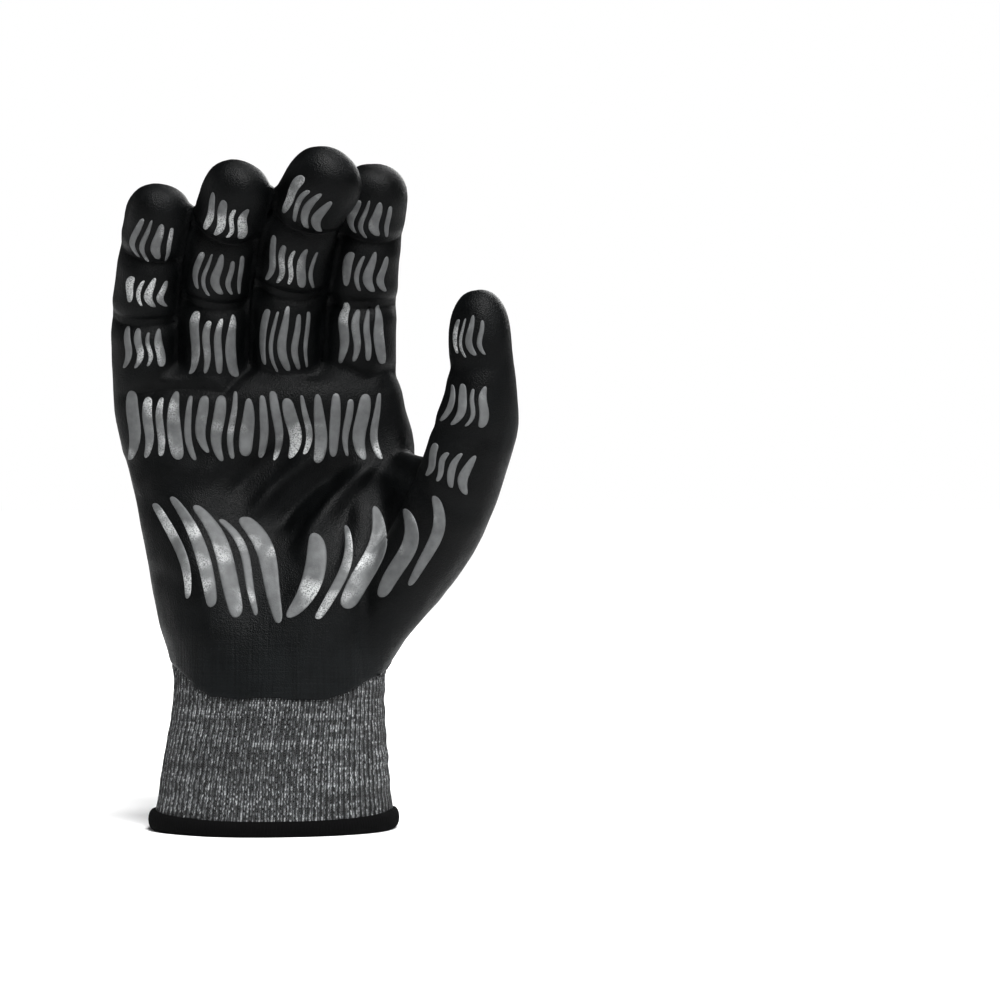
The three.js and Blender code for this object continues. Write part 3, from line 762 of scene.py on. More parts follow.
@dataclass
class Sculptor:
    """Works the skin as by hand: rounded roots, creases, folds and slack."""

    form: HandForm
    first_rounds: int = 10
    root_hollow: tuple[float, float] = (0.008, 0.03)
    root_spread: int = 16
    root_rounds: int = 240
    web_middle: Place = (50.0, -6.0, 135.0)
    web_reach: Place = (10.0, 13.0, 8.0)
    web_rounds: int = 420
    web_corner: Place = (47.5, -1.0, 140.0)
    corner_reach: Place = (5.0, 12.0, 7.0)
    corner_fill: float = 4.2
    corner_rounds: int = 90
    gap_left: float = 0.2
    gap_reach: float = 4.5
    gap_from: float = 0.74
    gap_rounds: int = 3
    ray_lift: float = 0.05
    settle_rounds: int = 4
    own_reach: float = 1.5
    roll_share: float = 0.28
    roll_away: float = 2.6
    slack: float = 0.40
    slack_scale: Place = (0.085, 0.085, 0.05)
    fine_slack: float = 0.45
    last_rounds: int = 2

    def work(self, skin: Skin) -> None:
        """Rounds, creases and folds the skin in place.

        Args:
            skin: the bare form, which is changed.
        """
        skin.relax(self.first_rounds)
        self._round_roots(skin)
        skin.relax(self.web_rounds, self._near(skin, self.web_middle, self.web_reach))
        corner = self._near(skin, self.web_corner, self.corner_reach)
        skin.points = skin.points + skin.normals() * (self.corner_fill * corner)[:, None]
        skin.relax(self.corner_rounds, corner)
        for _ in range(self.gap_rounds):
            self._close_gaps(skin)
        skin.relax(self.settle_rounds)
        normals = skin.normals()
        lift = self._digit_creases(skin.points)
        lift += self._palm_folds(skin.points, normals)
        lift += self._slack(skin.points)
        skin.points = skin.points + normals * lift[:, None]
        skin.relax(self.last_rounds)

    @staticmethod
    def _near(skin: Skin, middle: Place, reach: Place) -> np.ndarray:
        """One at a place, falling softly to 0 over the reach on each axis.

        Args:
            skin: the skin.
            middle: the place.
            reach: the reach.

        Returns:
            The share for each vertex.
        """
        away = (skin.points - middle) / reach
        return np.exp(-0.5 * (away ** 2).sum(axis=1))

    def _round_roots(self, skin: Skin) -> None:
        """Fills the sharp valleys where digits and web meet the palm.

        Args:
            skin: the skin, which is changed.
        """
        hollow = ((skin.neighbour_mean(skin.points) - skin.points) * skin.normals()).sum(axis=1)
        least, full = self.root_hollow
        weight = np.clip((hollow - least) / full, 0.0, 1.0)
        for _ in range(self.root_spread):
            weight = np.maximum(weight, 0.95 * skin.neighbour_mean(weight))
        skin.relax(self.root_rounds, skin.smooth_values(weight, 4))

    def _close_gaps(self, skin: Skin) -> None:
        """Swells neighbouring fingers towards each other until they all but touch.

        Args:
            skin: the skin, which is changed.
        """
        normals = skin.normals()
        tree = skin.tree()
        beside = (np.abs(normals[:, 0]) > 0.5) & (skin.points[:, 2] > palm_z(self.gap_from))
        lift = np.zeros(len(skin.points))
        for i in np.flatnonzero(beside):
            way = Vector(normals[i])
            start = Vector(skin.points[i]) + way * self.ray_lift
            hit = tree.ray_cast(start, way, self.gap_reach)
            if hit[0] is not None:
                lift[i] = (hit[3] + self.ray_lift - self.gap_left) / 2
        lift *= smoothstep(self.gap_reach - 2 * lift, 0.0, 2.0)
        for _ in range(3):
            lift = np.maximum(lift, 0.9 * skin.neighbour_mean(lift))
        skin.points = skin.points + normals * skin.smooth_values(lift, 5)[:, None]

    def nearest_digit(self, points: np.ndarray) -> tuple[np.ndarray, ...]:
        """Finds the digit that each point belongs to.

        Args:
            points: places in millimetres.

        Returns:
            Digit number, share along it, side offset, back offset and gap in radii.
        """
        best = [np.full(len(points), fill) for fill in (0.0, 0.0, 0.0, 0.0, 1e9)]
        for digit in Digit:
            share, side, back = self.form.axes[digit].locate(points)
            gap = np.hypot(side, back) / (self.form.girth(digit, share) / 2)
            closer = gap < best[4]
            for column, value in zip(best, (float(digit.value), share, side, back, gap)):
                column[closer] = value[closer] if isinstance(value, np.ndarray) else value
        return tuple(best)

    def _digit_creases(self, points: np.ndarray) -> np.ndarray:
        """Lift of the creases across the front of each digit's joints.

        Args:
            points: the vertices.

        Returns:
            Millimetres outwards for each.
        """
        number, share, side, back, gap = self.nearest_digit(points)
        lift = np.zeros(len(points))
        angle = np.arctan2(side, -back)
        front = smoothstep(np.cos(angle), -0.25, 0.55)
        for digit in Digit:
            length = self.form.axes[digit].length
            mine = (number == digit.value) & (gap < self.own_reach)
            is_thumb = digit is Digit.THUMB
            for at, depth, wide, bow in THUMB_CREASES if is_thumb else FINGER_CREASES:
                drift = 0.5 * math.sin(2.1 * digit.value + 9 * at)
                away = (share - at) * length - bow * (1 - np.cos(angle)) + drift * np.sin(2 * angle)
                fold = -depth * np.exp(-0.5 * (away / wide) ** 2)
                beside = (np.abs(away) - self.roll_away * wide) / wide
                rolls = self.roll_share * depth * np.exp(-0.5 * beside ** 2)
                lift += np.where(mine, (fold + rolls) * front, 0.0)
        return lift

    @staticmethod
    def _palm_folds(points: np.ndarray, normals: np.ndarray) -> np.ndarray:
        """Lift of the folds across the palm side.

        Args:
            points: the vertices.
            normals: their normals.

        Returns:
            Millimetres outwards for each.
        """
        facing = smoothstep(-normals[:, 1], 0.05, 0.5)
        lift = np.zeros(len(points))
        flat = points[:, [0, 2]]
        for x0, z0, x1, z1, rise, wide, fade in PALM_FOLDS:
            start, way = np.array([x0, z0]), np.array([x1 - x0, z1 - z0])
            length = float(np.hypot(*way))
            along = (flat - start) @ way / length
            across = (flat - start) @ np.array([-way[1], way[0]]) / length
            bend = 0.05 * length * np.sin(math.pi * np.clip(along / length, 0, 1))
            ends = smoothstep(along, -fade, fade) * smoothstep(length - along, -fade, fade)
            lift += rise * np.exp(-0.5 * ((across - bend) / wide) ** 2) * ends * facing
        return lift

    def _slack(self, points: np.ndarray) -> np.ndarray:
        """Soft unevenness of cloth that hangs a little loose.

        Args:
            points: the vertices.

        Returns:
            Millimetres outwards for each.
        """
        lift = np.empty(len(points))
        for i, (x, y, z) in enumerate((points * self.slack_scale).tolist()):
            broad = noise.noise((x + 3.1, y, z))
            fine = noise.noise((2.6 * x, 2.6 * y, 2.2 * z + 7))
            lift[i] = broad + self.fine_slack * fine
        return lift * self.slack


def triangles_only(work: bmesh.types.BMesh) -> None:
    """Cuts every larger face into triangles."""
    bmesh.ops.triangulate(work, faces=[face for face in work.faces if len(face.verts) > 3])


def split_long(skin: Skin, limit: float) -> Skin:
    """Halves edges until none is much longer than the limit.

    Args:
        skin: the triangle surface.
        limit: the longest edge, in millimetres.

    Returns:
        The finer skin.
    """
    piece = new_object("split_skin", skin.points, skin.faces.tolist())
    work = bmesh.new()
    work.from_mesh(piece.data)
    for _ in range(3):
        too_long = [edge for edge in work.edges if edge.calc_length() > limit * MM]
        bmesh.ops.subdivide_edges(work, edges=too_long, cuts=1)
        triangles_only(work)
    work.to_mesh(piece.data)
    work.free()
    return Skin.taken_from(piece)


class SkinCutter:
    """Puts lines of vertices into a skin where a value passes given levels."""

    NEAR = 1e-5
    MOVED_UP_TO = 0.22
    SMALLEST = 1e-4

    def __init__(self, skin: Skin, values: np.ndarray) -> None:
        """Takes up a skin.

        Args:
            skin: the triangle surface.
            values: the value at each vertex.
        """
        self.mesh = bpy.data.meshes.new("cutting")
        self.mesh.from_pydata(skin.points.tolist(), [], skin.faces.tolist())
        self.work = bmesh.new()
        self.work.from_mesh(self.mesh)
        self.layer = self.work.verts.layers.float.new("value")
        for vert, value in zip(self.work.verts, values.tolist()):
            vert[self.layer] = value
        self.held = set()

    def _crossing(self, level: float, on_line: set) -> list[bmesh.types.BMEdge]:
        """The edges that pass a level between two vertices off the line.

        Args:
            level: the level.
            on_line: vertices on the line.

        Returns:
            The edges.
        """
        layer = self.layer
        return [edge for edge in self.work.edges
                if (edge.verts[0][layer] - level) * (edge.verts[1][layer] - level)
                < -self.NEAR * self.NEAR
                and edge.verts[0] not in on_line and edge.verts[1] not in on_line]

    def _move_near(self, level: float, crossing: list, on_line: set) -> None:
        """Moves free vertices close to the line onto it.

        Args:
            level: the level.
            crossing: edges that pass it.
            on_line: vertices on the line, to which the moved ones are added.
        """
        layer = self.layer
        moved = {}
        for edge in crossing:
            for vert, other in (edge.verts, reversed(edge.verts)):
                if vert in self.held:
                    continue
                share = (level - vert[layer]) / (other[layer] - vert[layer])
                if share < moved.get(vert, (self.MOVED_UP_TO, None))[0]:
                    moved[vert] = (share, vert.co.lerp(other.co, share))
        for vert, (_, place) in moved.items():
            vert.co = place
            vert[layer] = level
            on_line.add(vert)

    def _split(self, level: float, crossing: list, on_line: set) -> None:
        """Splits the other edges on the line, and the faces between the new vertices.

        Args:
            level: the level.
            crossing: edges that pass it.
            on_line: vertices on the line, to which the new ones are added.
        """
        layer = self.layer
        touched = set()
        for edge in crossing:
            low, high = edge.verts
            touched.update(edge.link_faces)
            if low in on_line or high in on_line:
                continue
            share = (level - low[layer]) / (high[layer] - low[layer])
            _, fresh = bmesh.utils.edge_split(edge, low, share)
            fresh[layer] = level
            on_line.add(fresh)
        for face in touched:
            corners = [vert for vert in face.verts if vert in on_line]
            if len(corners) == 2 and not any(set(corners) == set(e.verts) for e in face.edges):
                bmesh.utils.face_split(face, corners[0], corners[1])
        triangles_only(self.work)

    def cut(self, levels: tuple[float, ...]) -> tuple[Skin, np.ndarray]:
        """Marks the levels.

        Args:
            levels: the levels to mark.

        Returns:
            The finer skin and its values.
        """
        for level in levels:
            on_line = {vert for vert in self.work.verts if abs(vert[self.layer] - level) < self.NEAR}
            crossing = self._crossing(level, on_line)
            self._move_near(level, crossing, on_line)
            self._split(level, crossing, on_line)
            self.held |= on_line
        bmesh.ops.dissolve_degenerate(self.work, dist=self.SMALLEST, edges=self.work.edges)
        triangles_only(self.work)
        values = np.array([vert[self.layer] for vert in self.work.verts])
        self.work.to_mesh(self.mesh)
        self.work.free()
        return Skin.read(self.mesh, 1.0), values


def keep_part(skin: Skin, inside: np.ndarray) -> tuple[np.ndarray, np.ndarray]:
    """Chooses the faces whose corners are all inside.

    Args:
        skin: the surface.
        inside: true for each vertex that may stay.

    Returns:
        The kept vertices' old numbers and the faces in new numbers.
    """
    faces = skin.faces[inside[skin.faces].all(axis=1)]
    used, flat = np.unique(faces, return_inverse=True)
    return used, flat.reshape(-1, 3)


def corner_vertices(mesh: bpy.types.Mesh) -> np.ndarray:
    """Reads the vertex number of each corner of each face.

    Args:
        mesh: the mesh.

    Returns:
        The numbers, face by face.
    """
    corners = np.empty(len(mesh.loops), dtype=np.int64)
    mesh.loops.foreach_get("vertex_index", corners)
    return corners


def set_uv(piece: bpy.types.Object, values: np.ndarray) -> None:
    """Writes the knit's map from one pair of values for each corner of each face."""
    layer = piece.data.uv_layers.new(name=KNIT_MAP)
    layer.data.foreach_set("uv", values.astype(np.float32).ravel())


def dress(piece: bpy.types.Object, material: bpy.types.Material, slot: str, *nodes: str) -> None:
    """Gives a piece its finish and its place in the frame.

    Args:
        piece: the finished piece.
        material: its finish.
        slot: not used.
        nodes: CAD nodes that it stands for.
    """
    piece.data.materials.clear()
    piece.data.materials.append(material)
    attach(piece, BODY)
    if nodes:
        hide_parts(*nodes)
    LOG.info("%s: %d faces", piece.name, len(piece.data.polygons))


class Signal:
    """A value, place or colour that runs between a material's nodes, with plain arithmetic."""

    def __init__(self, desk: "NodeDesk", socket: bpy.types.NodeSocket) -> None:
        """Takes hold of a node's output."""
        self.desk = desk
        self.socket = socket

    def __add__(self, other: "Signal | float") -> "Signal":
        """Sum of two values."""
        return self.desk.math("ADD", self, other)

    def __sub__(self, other: "Signal | float") -> "Signal":
        """Difference of two values."""
        return self.desk.math("SUBTRACT", self, other)

    def __mul__(self, other: "Signal | float") -> "Signal":
        """Product of two values."""
        return self.desk.math("MULTIPLY", self, other)

    def __truediv__(self, other: "Signal | float") -> "Signal":
        """Quotient of two values."""
        return self.desk.math("DIVIDE", self, other)

    def __pow__(self, power: float) -> "Signal":
        """The value raised to a power."""
        return self.desk.math("POWER", self, power)

    def at_least(self, least: float) -> "Signal":
        """The value, or the least one where that is higher."""
        return self.desk.math("MAXIMUM", self, least)

    def sine(self) -> "Signal":
        """Sine of the value."""
        return self.desk.math("SINE", self)

    def cosine(self) -> "Signal":
        """Cosine of the value."""
        return self.desk.math("COSINE", self)

    def fraction(self) -> "Signal":
        """What the value has above its whole number."""
        return self.desk.math("FRACT", self)

    def whole(self) -> "Signal":
        """The whole number under the value."""
        return self.desk.math("FLOOR", self)

    def size(self) -> "Signal":
        """The value without its sign."""
        return self.desk.math("ABSOLUTE", self)


class NodeDesk:
    """Lays out the nodes of one material."""

    def __init__(self, name: str) -> None:
        """Starts a material with its surface shader."""
        self.material = bpy.data.materials.new(name)
        self.material.use_nodes = True
        self.tree = self.material.node_tree
        self.surface = self.tree.nodes["Principled BSDF"]

    def node(self, kind: str, settings: dict[str, str] | None = None,
             **inputs: object) -> bpy.types.Node:
        """Adds a node.

        Args:
            kind: the node's type, without the common prefix.
            settings: its properties.
            inputs: values or signals by input name, with _ for a space.

        Returns:
            The node.
        """
        made = self.tree.nodes.new("ShaderNode" + kind)
        for key, value in (settings or {}).items():
            setattr(made, key, value)
        self.feed_all(made, inputs)
        return made

    def feed(self, socket: bpy.types.NodeSocket, value: object) -> None:
        """Links a socket to a signal, or sets its value."""
        if isinstance(value, Signal):
            self.tree.links.new(value.socket, socket)
        else:
            socket.default_value = value

    def feed_all(self, node: bpy.types.Node, inputs: dict[str, object]) -> None:
        """Feeds a node's inputs by name, with _ for a space."""
        for key, value in inputs.items():
            self.feed(node.inputs[key.replace("_", " ")], value)

    def math(self, operation: str, *values: Signal | float) -> Signal:
        """Adds a math node and returns its result.

        Args:
            operation: what it does.
            values: its inputs, in order.

        Returns:
            The result.
        """
        made = self.node("Math", {"operation": operation})
        for socket, value in zip(made.inputs, values):
            self.feed(socket, value)
        return Signal(self, made.outputs[0])

    def place(self) -> Signal:
        """The point's own place on the object, in metres."""
        return Signal(self, self.node("TexCoord").outputs["Object"])

    def parts(self, vector: Signal) -> tuple[Signal, ...]:
        """The x, y and z of a vector."""
        return tuple(Signal(self, out) for out in self.node("SeparateXYZ", None, Vector=vector).outputs)

    def knit_run(self) -> tuple[Signal, Signal]:
        """Places across and along the knit, from the piece's own map."""
        read = self.node("UVMap", {"uv_map": KNIT_MAP})
        across, along, _ = self.parts(Signal(self, read.outputs[0]))
        return across, along

    def pair(self, x: Signal, y: Signal) -> Signal:
        """A flat place from two values."""
        return Signal(self, self.node("CombineXYZ", None, X=x, Y=y).outputs[0])

    def stretched(self, vector: Signal, scale: Place) -> Signal:
        """A place scaled by its own number on each axis."""
        return Signal(self, self.node("Mapping", None, Vector=vector, Scale=scale).outputs[0])

    def noise(self, vector: Signal, scale: float, detail: float = 2.0,
              roughness: float = 0.5) -> Signal:
        """Adds cloud noise and returns its value."""
        made = self.node("TexNoise", None, Vector=vector, Scale=scale, Detail=detail,
                         Roughness=roughness)
        return Signal(self, made.outputs["Fac"])

    def chance(self, cell: Signal, dimensions: str) -> Signal:
        """An even random value for each whole cell, with 2D or 3D noise."""
        made = self.node("TexWhiteNoise", {"noise_dimensions": dimensions}, Vector=cell)
        return Signal(self, made.outputs[0])

    def pores(self, vector: Signal, scale: float) -> Signal:
        """Distance to the middle of the nearest pore."""
        made = self.node("TexVoronoi", {"feature": "F1"}, Vector=vector, Scale=scale)
        return Signal(self, made.outputs[0])

    def ramp(self, factor: Signal, *stops: tuple[float, Colour]) -> Signal:
        """Adds a colour ramp through the given stops and returns its colour.

        Args:
            factor: the place on the ramp.
            stops: place and colour of each stop.

        Returns:
            The colour.
        """
        made = self.node("ValToRGB", None, Fac=factor)
        entries = made.color_ramp.elements
        while len(entries) < len(stops):
            entries.new(0.5)
        for entry, (place, colour) in zip(entries, stops):
            entry.position = place
            entry.color = (*colour, 1.0)
        return Signal(self, made.outputs["Color"])

    def span(self, value: Signal, low: float, high: float, to_low: float = 0.0,
             to_high: float = 1.0) -> Signal:
        """Eases a value from one range to another."""
        made = self.node("MapRange", {"interpolation_type": "SMOOTHSTEP"}, Value=value, From_Min=low,
                         From_Max=high, To_Min=to_low, To_Max=to_high)
        return Signal(self, made.outputs[0])

    def blend(self, factor: Signal, first: Signal, second: Colour) -> Signal:
        """Mixes two colours.

        Args:
            factor: share of the second.
            first: the first colour.
            second: the second colour.

        Returns:
            The mixed colour.
        """
        made = self.node("Mix", {"data_type": "RGBA"})
        self.feed(made.inputs[0], factor)
        self.feed(made.inputs[6], first)
        self.feed(made.inputs[7], (*second, 1.0))
        return Signal(self, made.outputs[2])

    def bump(self, height: Signal, depth: float) -> Signal:
        """Adds a bump node of a depth in millimetres and returns its normal."""
        return Signal(self, self.node("Bump", None, Height=height, Distance=depth * MM,
                                      Strength=1.0).outputs[0])

    def finish(self, **inputs: object) -> bpy.types.Material:
        """Feeds the surface shader and returns the material."""
        self.feed_all(self.surface, inputs)
        return self.material


@dataclass(frozen=True)
class KnitFinish:
    """Melange yarn in rows of small V stitches, laid along the piece's own map.

    wale and course give a stitch's width and height and relief its depth. speckle is the
    contrast from stitch to stitch, band that of soft level bands and fleck that of the palest
    stitches. On a ribbed knit the map runs in ribs, with two columns of stitches to a rib.
    """

    name: str
    dark: Colour
    middle: Colour
    light: Colour
    wale: float
    course: float
    relief: float
    speckle: float
    band: float = 0.0
    fleck: float = 0.12
    ribbed: bool = False
    dark_at: float = 0.12
    middle_at: float = 0.46
    light_at: float = 0.85
    # Share of the tone that painted shade takes away in the grooves between stitches.
    shade: float = 0.62
    lean: float = 1.3
    fibre: float = 0.45
    fibre_scale: float = 2600.0
    patch: float = 0.6
    patch_scale: float = 260.0
    fuzz: float = 0.35
    fuzz_scale: float = 5200.0

    def material(self) -> bpy.types.Material:
        """Builds the knit material.

        Returns:
            The material.
        """
        desk = NodeDesk(self.name)
        across, along = desk.knit_run()
        place = desk.place()
        column = across / self.wale
        if self.ribbed:
            column = column + 0.5
        leg = (column.fraction() - 0.5).size()
        row = along / self.course - leg * self.lean
        yarn = (row.fraction() * math.pi).sine()
        groove = (leg * math.pi).cosine() if self.ribbed else (leg * ROUND).sine()
        height = yarn ** 0.6 * groove.at_least(0.02) ** 0.5
        # Painted shade: the colour darkens in the grooves between stitches and rows, and on a ribbed
        # knit towards the valleys between ribs.
        shade = height
        if self.ribbed:
            crest = (across * ROUND).cosine()
            shade = groove.at_least(0.0) ** 0.8 * (crest * 0.08 + 0.84) * (yarn * 0.34 + 0.76)
        tone = self._melange(desk, place, desk.pair((column * 2.0).whole(), row.whole()))
        if self.band:
            wave = desk.noise(desk.pair(across * 0.035, along * 0.26), 1.0, 3.0, 0.6) - 0.5
            tone = tone + wave * self.band
        tone = tone * (shade * self.shade + (1.02 - self.shade))
        colour = desk.ramp(tone, (self.dark_at, self.dark), (self.middle_at, self.middle),
                           (self.light_at, self.light))
        raised = height + desk.noise(place, self.fuzz_scale, 2.0, 0.7) * self.fuzz
        return desk.finish(Base_Color=colour, Roughness=0.93, Sheen_Weight=0.25,
                           Sheen_Roughness=0.6, Specular_IOR_Level=0.25,
                           Normal=desk.bump(raised, self.relief))

    def _melange(self, desk: NodeDesk, place: Signal, cell: Signal) -> Signal:
        """Light and dark of the yarn.

        Args:
            desk: the material's nodes.
            place: the point's place.
            cell: the number of its stitch across and along.

        Returns:
            The tone from stitch to stitch, in the fibre and in small patches.
        """
        speckle = desk.chance(cell, "2D") * self.speckle
        fibre = desk.noise(place, self.fibre_scale, 3.0, 0.65) * self.fibre
        patch = (desk.noise(place, self.patch_scale, 2.0, 0.6) - 0.5) * self.patch
        fleck = desk.span(desk.chance(cell, "3D"), 0.80, 0.95) * self.fleck
        return speckle + fibre + patch + fleck


BACK_KNIT = KnitFinish(
    "grey_melange_knit", dark=(0.075, 0.078, 0.080), middle=(0.25, 0.255, 0.26),
    light=(0.52, 0.53, 0.54), wale=1.15, course=0.85, relief=0.28, speckle=0.34)
RIB_KNIT = KnitFinish(
    "charcoal_rib_knit", dark=(0.002, 0.0024, 0.0028), middle=(0.050, 0.055, 0.058),
    light=(0.50, 0.51, 0.52), wale=0.5, course=0.86, relief=0.44, speckle=0.60, band=0.85,
    fleck=0.14, ribbed=True, dark_at=0.21, shade=0.80)
INNER_KNIT = KnitFinish(
    "inner_knit", dark=(0.04, 0.042, 0.044), middle=(0.16, 0.165, 0.17),
    light=(0.40, 0.41, 0.42), wale=1.25, course=0.95, relief=0.2, speckle=0.55)


@dataclass(frozen=True)
class FoamFinish:
    """Black foam rubber with a fine open grain and a soft sheen.

    Towards the wrist the rows and ribs of the knit show through, and painted light makes the foam paler
    there.
    """

    name: str
    deep: Colour = (0.0003, 0.0006, 0.0008)
    # Pale end of the colour, reached by the grain and by the painted light towards the wrist.
    pale_grain_and_lit: Colour = (0.0058, 0.0074, 0.0082)
    grain_scale: float = 2400.0
    pore_scale: float = 1900.0
    cloud_scale: float = 70.0
    row_stretch: Place = (60.0, 60.0, 1500.0)
    rib_stretch: Place = (900.0, 10.0, 40.0)
    streaks_to: tuple[float, float] = (0.060, 0.092)
    # Heights in metres over which the painted light, paler towards the wrist, fades out.
    painted_light_to: tuple[float, float] = (0.050, 0.100)
    relief: float = 0.15

    def material(self) -> bpy.types.Material:
        """Builds the foam material.

        Returns:
            The material.
        """
        desk = NodeDesk(self.name)
        place = desk.place()
        _, _, upright = desk.parts(place)
        grain = desk.noise(place, self.grain_scale, 3.0, 0.68)
        cloud = desk.noise(place, self.cloud_scale, 4.0, 0.6)
        rows = desk.noise(desk.stretched(place, self.row_stretch), 1.0, 2.0, 0.6)
        ribs = desk.noise(desk.stretched(place, self.rib_stretch), 1.0, 2.0, 0.6)
        streak = (rows * 0.7 + ribs) * desk.span(upright, *self.streaks_to, 1.0, 0.0)
        # Painted light: the colour is lifted paler towards the wrist.
        thin = desk.span(upright, *self.painted_light_to, 1.0, 0.0) * 0.22
        tone = grain * 0.5 + cloud * 0.55 + desk.span(streak, 0.6, 1.1) * 0.34 + thin
        colour = desk.ramp(tone, (0.42, self.deep), (0.95, self.pale_grain_and_lit))
        height = grain * 0.9 + desk.pores(place, self.pore_scale) * 0.9 + streak * 1.6
        rough = desk.span(cloud, 0.3, 0.7, 0.32, 0.46) + desk.span(grain, 0.35, 0.65, 0.10, 0.0)
        return desk.finish(Base_Color=colour, Roughness=rough, Specular_IOR_Level=0.19,
                           Normal=desk.bump(height, self.relief))


@dataclass(frozen=True)
class PrintFinish:
    """Grey rubber print with pale, bright-grained patches at random."""

    name: str
    ground: Colour = (0.124, 0.128, 0.130)
    pale: Colour = (0.55, 0.56, 0.56)
    patch_scale: float = 62.0
    grain_scale: float = 1900.0
    tint_scale: float = 240.0
    palest_share: float = 0.80
    relief: float = 0.07

    def material(self) -> bpy.types.Material:
        """Builds the print material.

        Returns:
            The material.
        """
        desk = NodeDesk(self.name)
        place = desk.place()
        # Pale patches laid at random by noise, with a bright grain and less roughness.
        pale_patch = desk.span(desk.noise(place, self.patch_scale), 0.52, 0.70, 0.0, self.palest_share)
        grain = desk.noise(place, self.grain_scale, 3.0, 0.7)
        flecks = pale_patch * desk.span(grain, 0.36, 0.58)
        darker, lighter = (tuple(share * part for part in self.ground) for share in (0.78, 1.16))
        ground = desk.ramp(desk.noise(place, self.tint_scale, 3.0, 0.6), (0.3, darker), (0.7, lighter))
        return desk.finish(Base_Color=desk.blend(flecks, ground, self.pale),
                           Roughness=desk.span(flecks, 0.0, 1.0, 0.62, 0.40),
                           Specular_IOR_Level=0.5, Normal=desk.bump(grain, self.relief))


@dataclass(frozen=True)
class HemFinish:
    """Black overlock yarn wound slantwise round the edge."""

    name: str
    # Colours for painted shade in the grooves between strands and painted light on their tops.
    deep: Colour = (0.0016, 0.0016, 0.0018)
    lit: Colour = (0.0080, 0.0080, 0.0084)
    strands: tuple[float, float] = (2.4, 0.9)
    fuzz_scale: float = 3600.0
    relief: float = 0.2

    def material(self) -> bpy.types.Material:
        """Builds the hem material.

        Returns:
            The material.
        """
        desk = NodeDesk(self.name)
        across, along = desk.knit_run()
        slant = across * self.strands[0] + along * self.strands[1]
        strand = (slant.fraction() * math.pi).sine()
        height = strand + desk.noise(desk.place(), self.fuzz_scale, 3.0, 0.7) * 0.5
        # Painted light and shade: raised strand tops take the lit colour, the grooves between them the
        # deep one.
        colour = desk.ramp(height * 0.6, (0.1, self.deep), (0.9, self.lit))
        return desk.finish(Base_Color=colour, Roughness=0.92, Specular_IOR_Level=0.12,
                           Normal=desk.bump(height, self.relief))


class KnitRun:
    """Lays the direction of the knit round the hand and each digit."""

    THUMB_FROM = 30.0
    THUMB_SLANT = 0.45
    THUMB_BELOW = 178.0
    THUMB_SIDES = 10
    ROWS = np.arange(74.0, 172.0, 2.0)

    def __init__(self, sculptor: Sculptor) -> None:
        """Measures the way round the hand from the middle of its back.

        Args:
            sculptor: the worker that knows the digits.
        """
        self.sculptor = sculptor
        rings = sculptor.form.body_rings(self.ROWS)
        rings = np.roll(rings, -(sculptor.form.body_sides // 4), axis=1)
        steps = np.linalg.norm(np.roll(rings, -1, axis=1) - rings, axis=2)
        arc = np.cumsum(steps, axis=1) - steps
        whole = steps.sum(axis=1, keepdims=True)
        arc = np.where(arc > whole / 2, arc - whole, arc)
        self.round = (rings[:, :1, 0] - arc).ravel()
        self.ways = unit(np.roll(rings, -1, axis=1) - np.roll(rings, 1, axis=1)).reshape(-1, 3)
        self.places = rings.reshape(-1, 3)
        self.tree = KDTree(len(self.places))
        for i, place in enumerate(self.places):
            self.tree.insert(place, i)
        self.tree.balance()

    def _hand(self, points: np.ndarray) -> np.ndarray:
        """Millimetres round the hand for each point.

        Args:
            points: places in millimetres.

        Returns:
            The way round for each.
        """
        nearest = np.array([self.tree.find(Vector(point))[1] for point in points])
        offset = ((points - self.places[nearest]) * self.ways[nearest]).sum(axis=1)
        return self.round[nearest] - offset

    def on_hand(self, points: np.ndarray) -> np.ndarray:
        """Reads the map of the hand and fingers.

        Args:
            points: places on the back of the glove, in millimetres.

        Returns:
            Millimetres across and along the knit, one row for each point.
        """
        form = self.sculptor.form
        across, along = self._hand(points), points[:, 2].copy()
        number, share, side, back, _ = self.sculptor.nearest_digit(points)
        for digit in FINGERS:
            axis = form.axes[digit]
            into = np.where(number == digit.value, smoothstep(share, 0.02, 0.24), 0.0)
            start = axis.points[0]
            bend = np.arctan2(side, back) * FINGER_GIRTH / 2
            across += into * (start[0] + bend - across)
            along += into * (start[2] + share * axis.length - along)
        return np.stack([across, along], axis=1)

    def on_thumb(self, corners: np.ndarray) -> np.ndarray:
        """Lays the map along the thumb, each face flat on one of a few sides.

        Args:
            corners: the three corners of each face, in millimetres.

        Returns:
            Millimetres across and along the knit for each corner.
        """
        points = self.sculptor.form.axes[Digit.THUMB].points
        along = unit((points[-1] - points[0])[None])[0]
        first = unit(np.cross(along, (0.0, 0.0, 1.0))[None])[0]
        second = np.cross(along, first)
        normals = np.cross(corners[:, 1] - corners[:, 0], corners[:, 2] - corners[:, 0])
        turn = np.arctan2(normals @ second, normals @ first)
        turn = np.round(turn / ROUND * self.THUMB_SIDES) / self.THUMB_SIDES * ROUND
        ways = np.outer(-np.sin(turn), first) + np.outer(np.cos(turn), second)
        across = (corners * ways[:, None]).sum(axis=2)
        return np.stack([across, corners @ along], axis=2)

    def corners(self, points: np.ndarray, faces: np.ndarray) -> np.ndarray:
        """Reads the map for a mesh of triangles.

        Args:
            points: the vertices, in millimetres.
            faces: their numbers, three for each face.

        Returns:
            Across and along for each corner of each face.
        """
        values = self.on_hand(points)[faces]
        x, y, z = points[faces].mean(axis=1).T
        thumb = (x - self.THUMB_SLANT * y > self.THUMB_FROM) & (z < self.THUMB_BELOW)
        values[thumb] = self.on_thumb(points[faces[thumb]])
        return values.reshape(-1, 2)


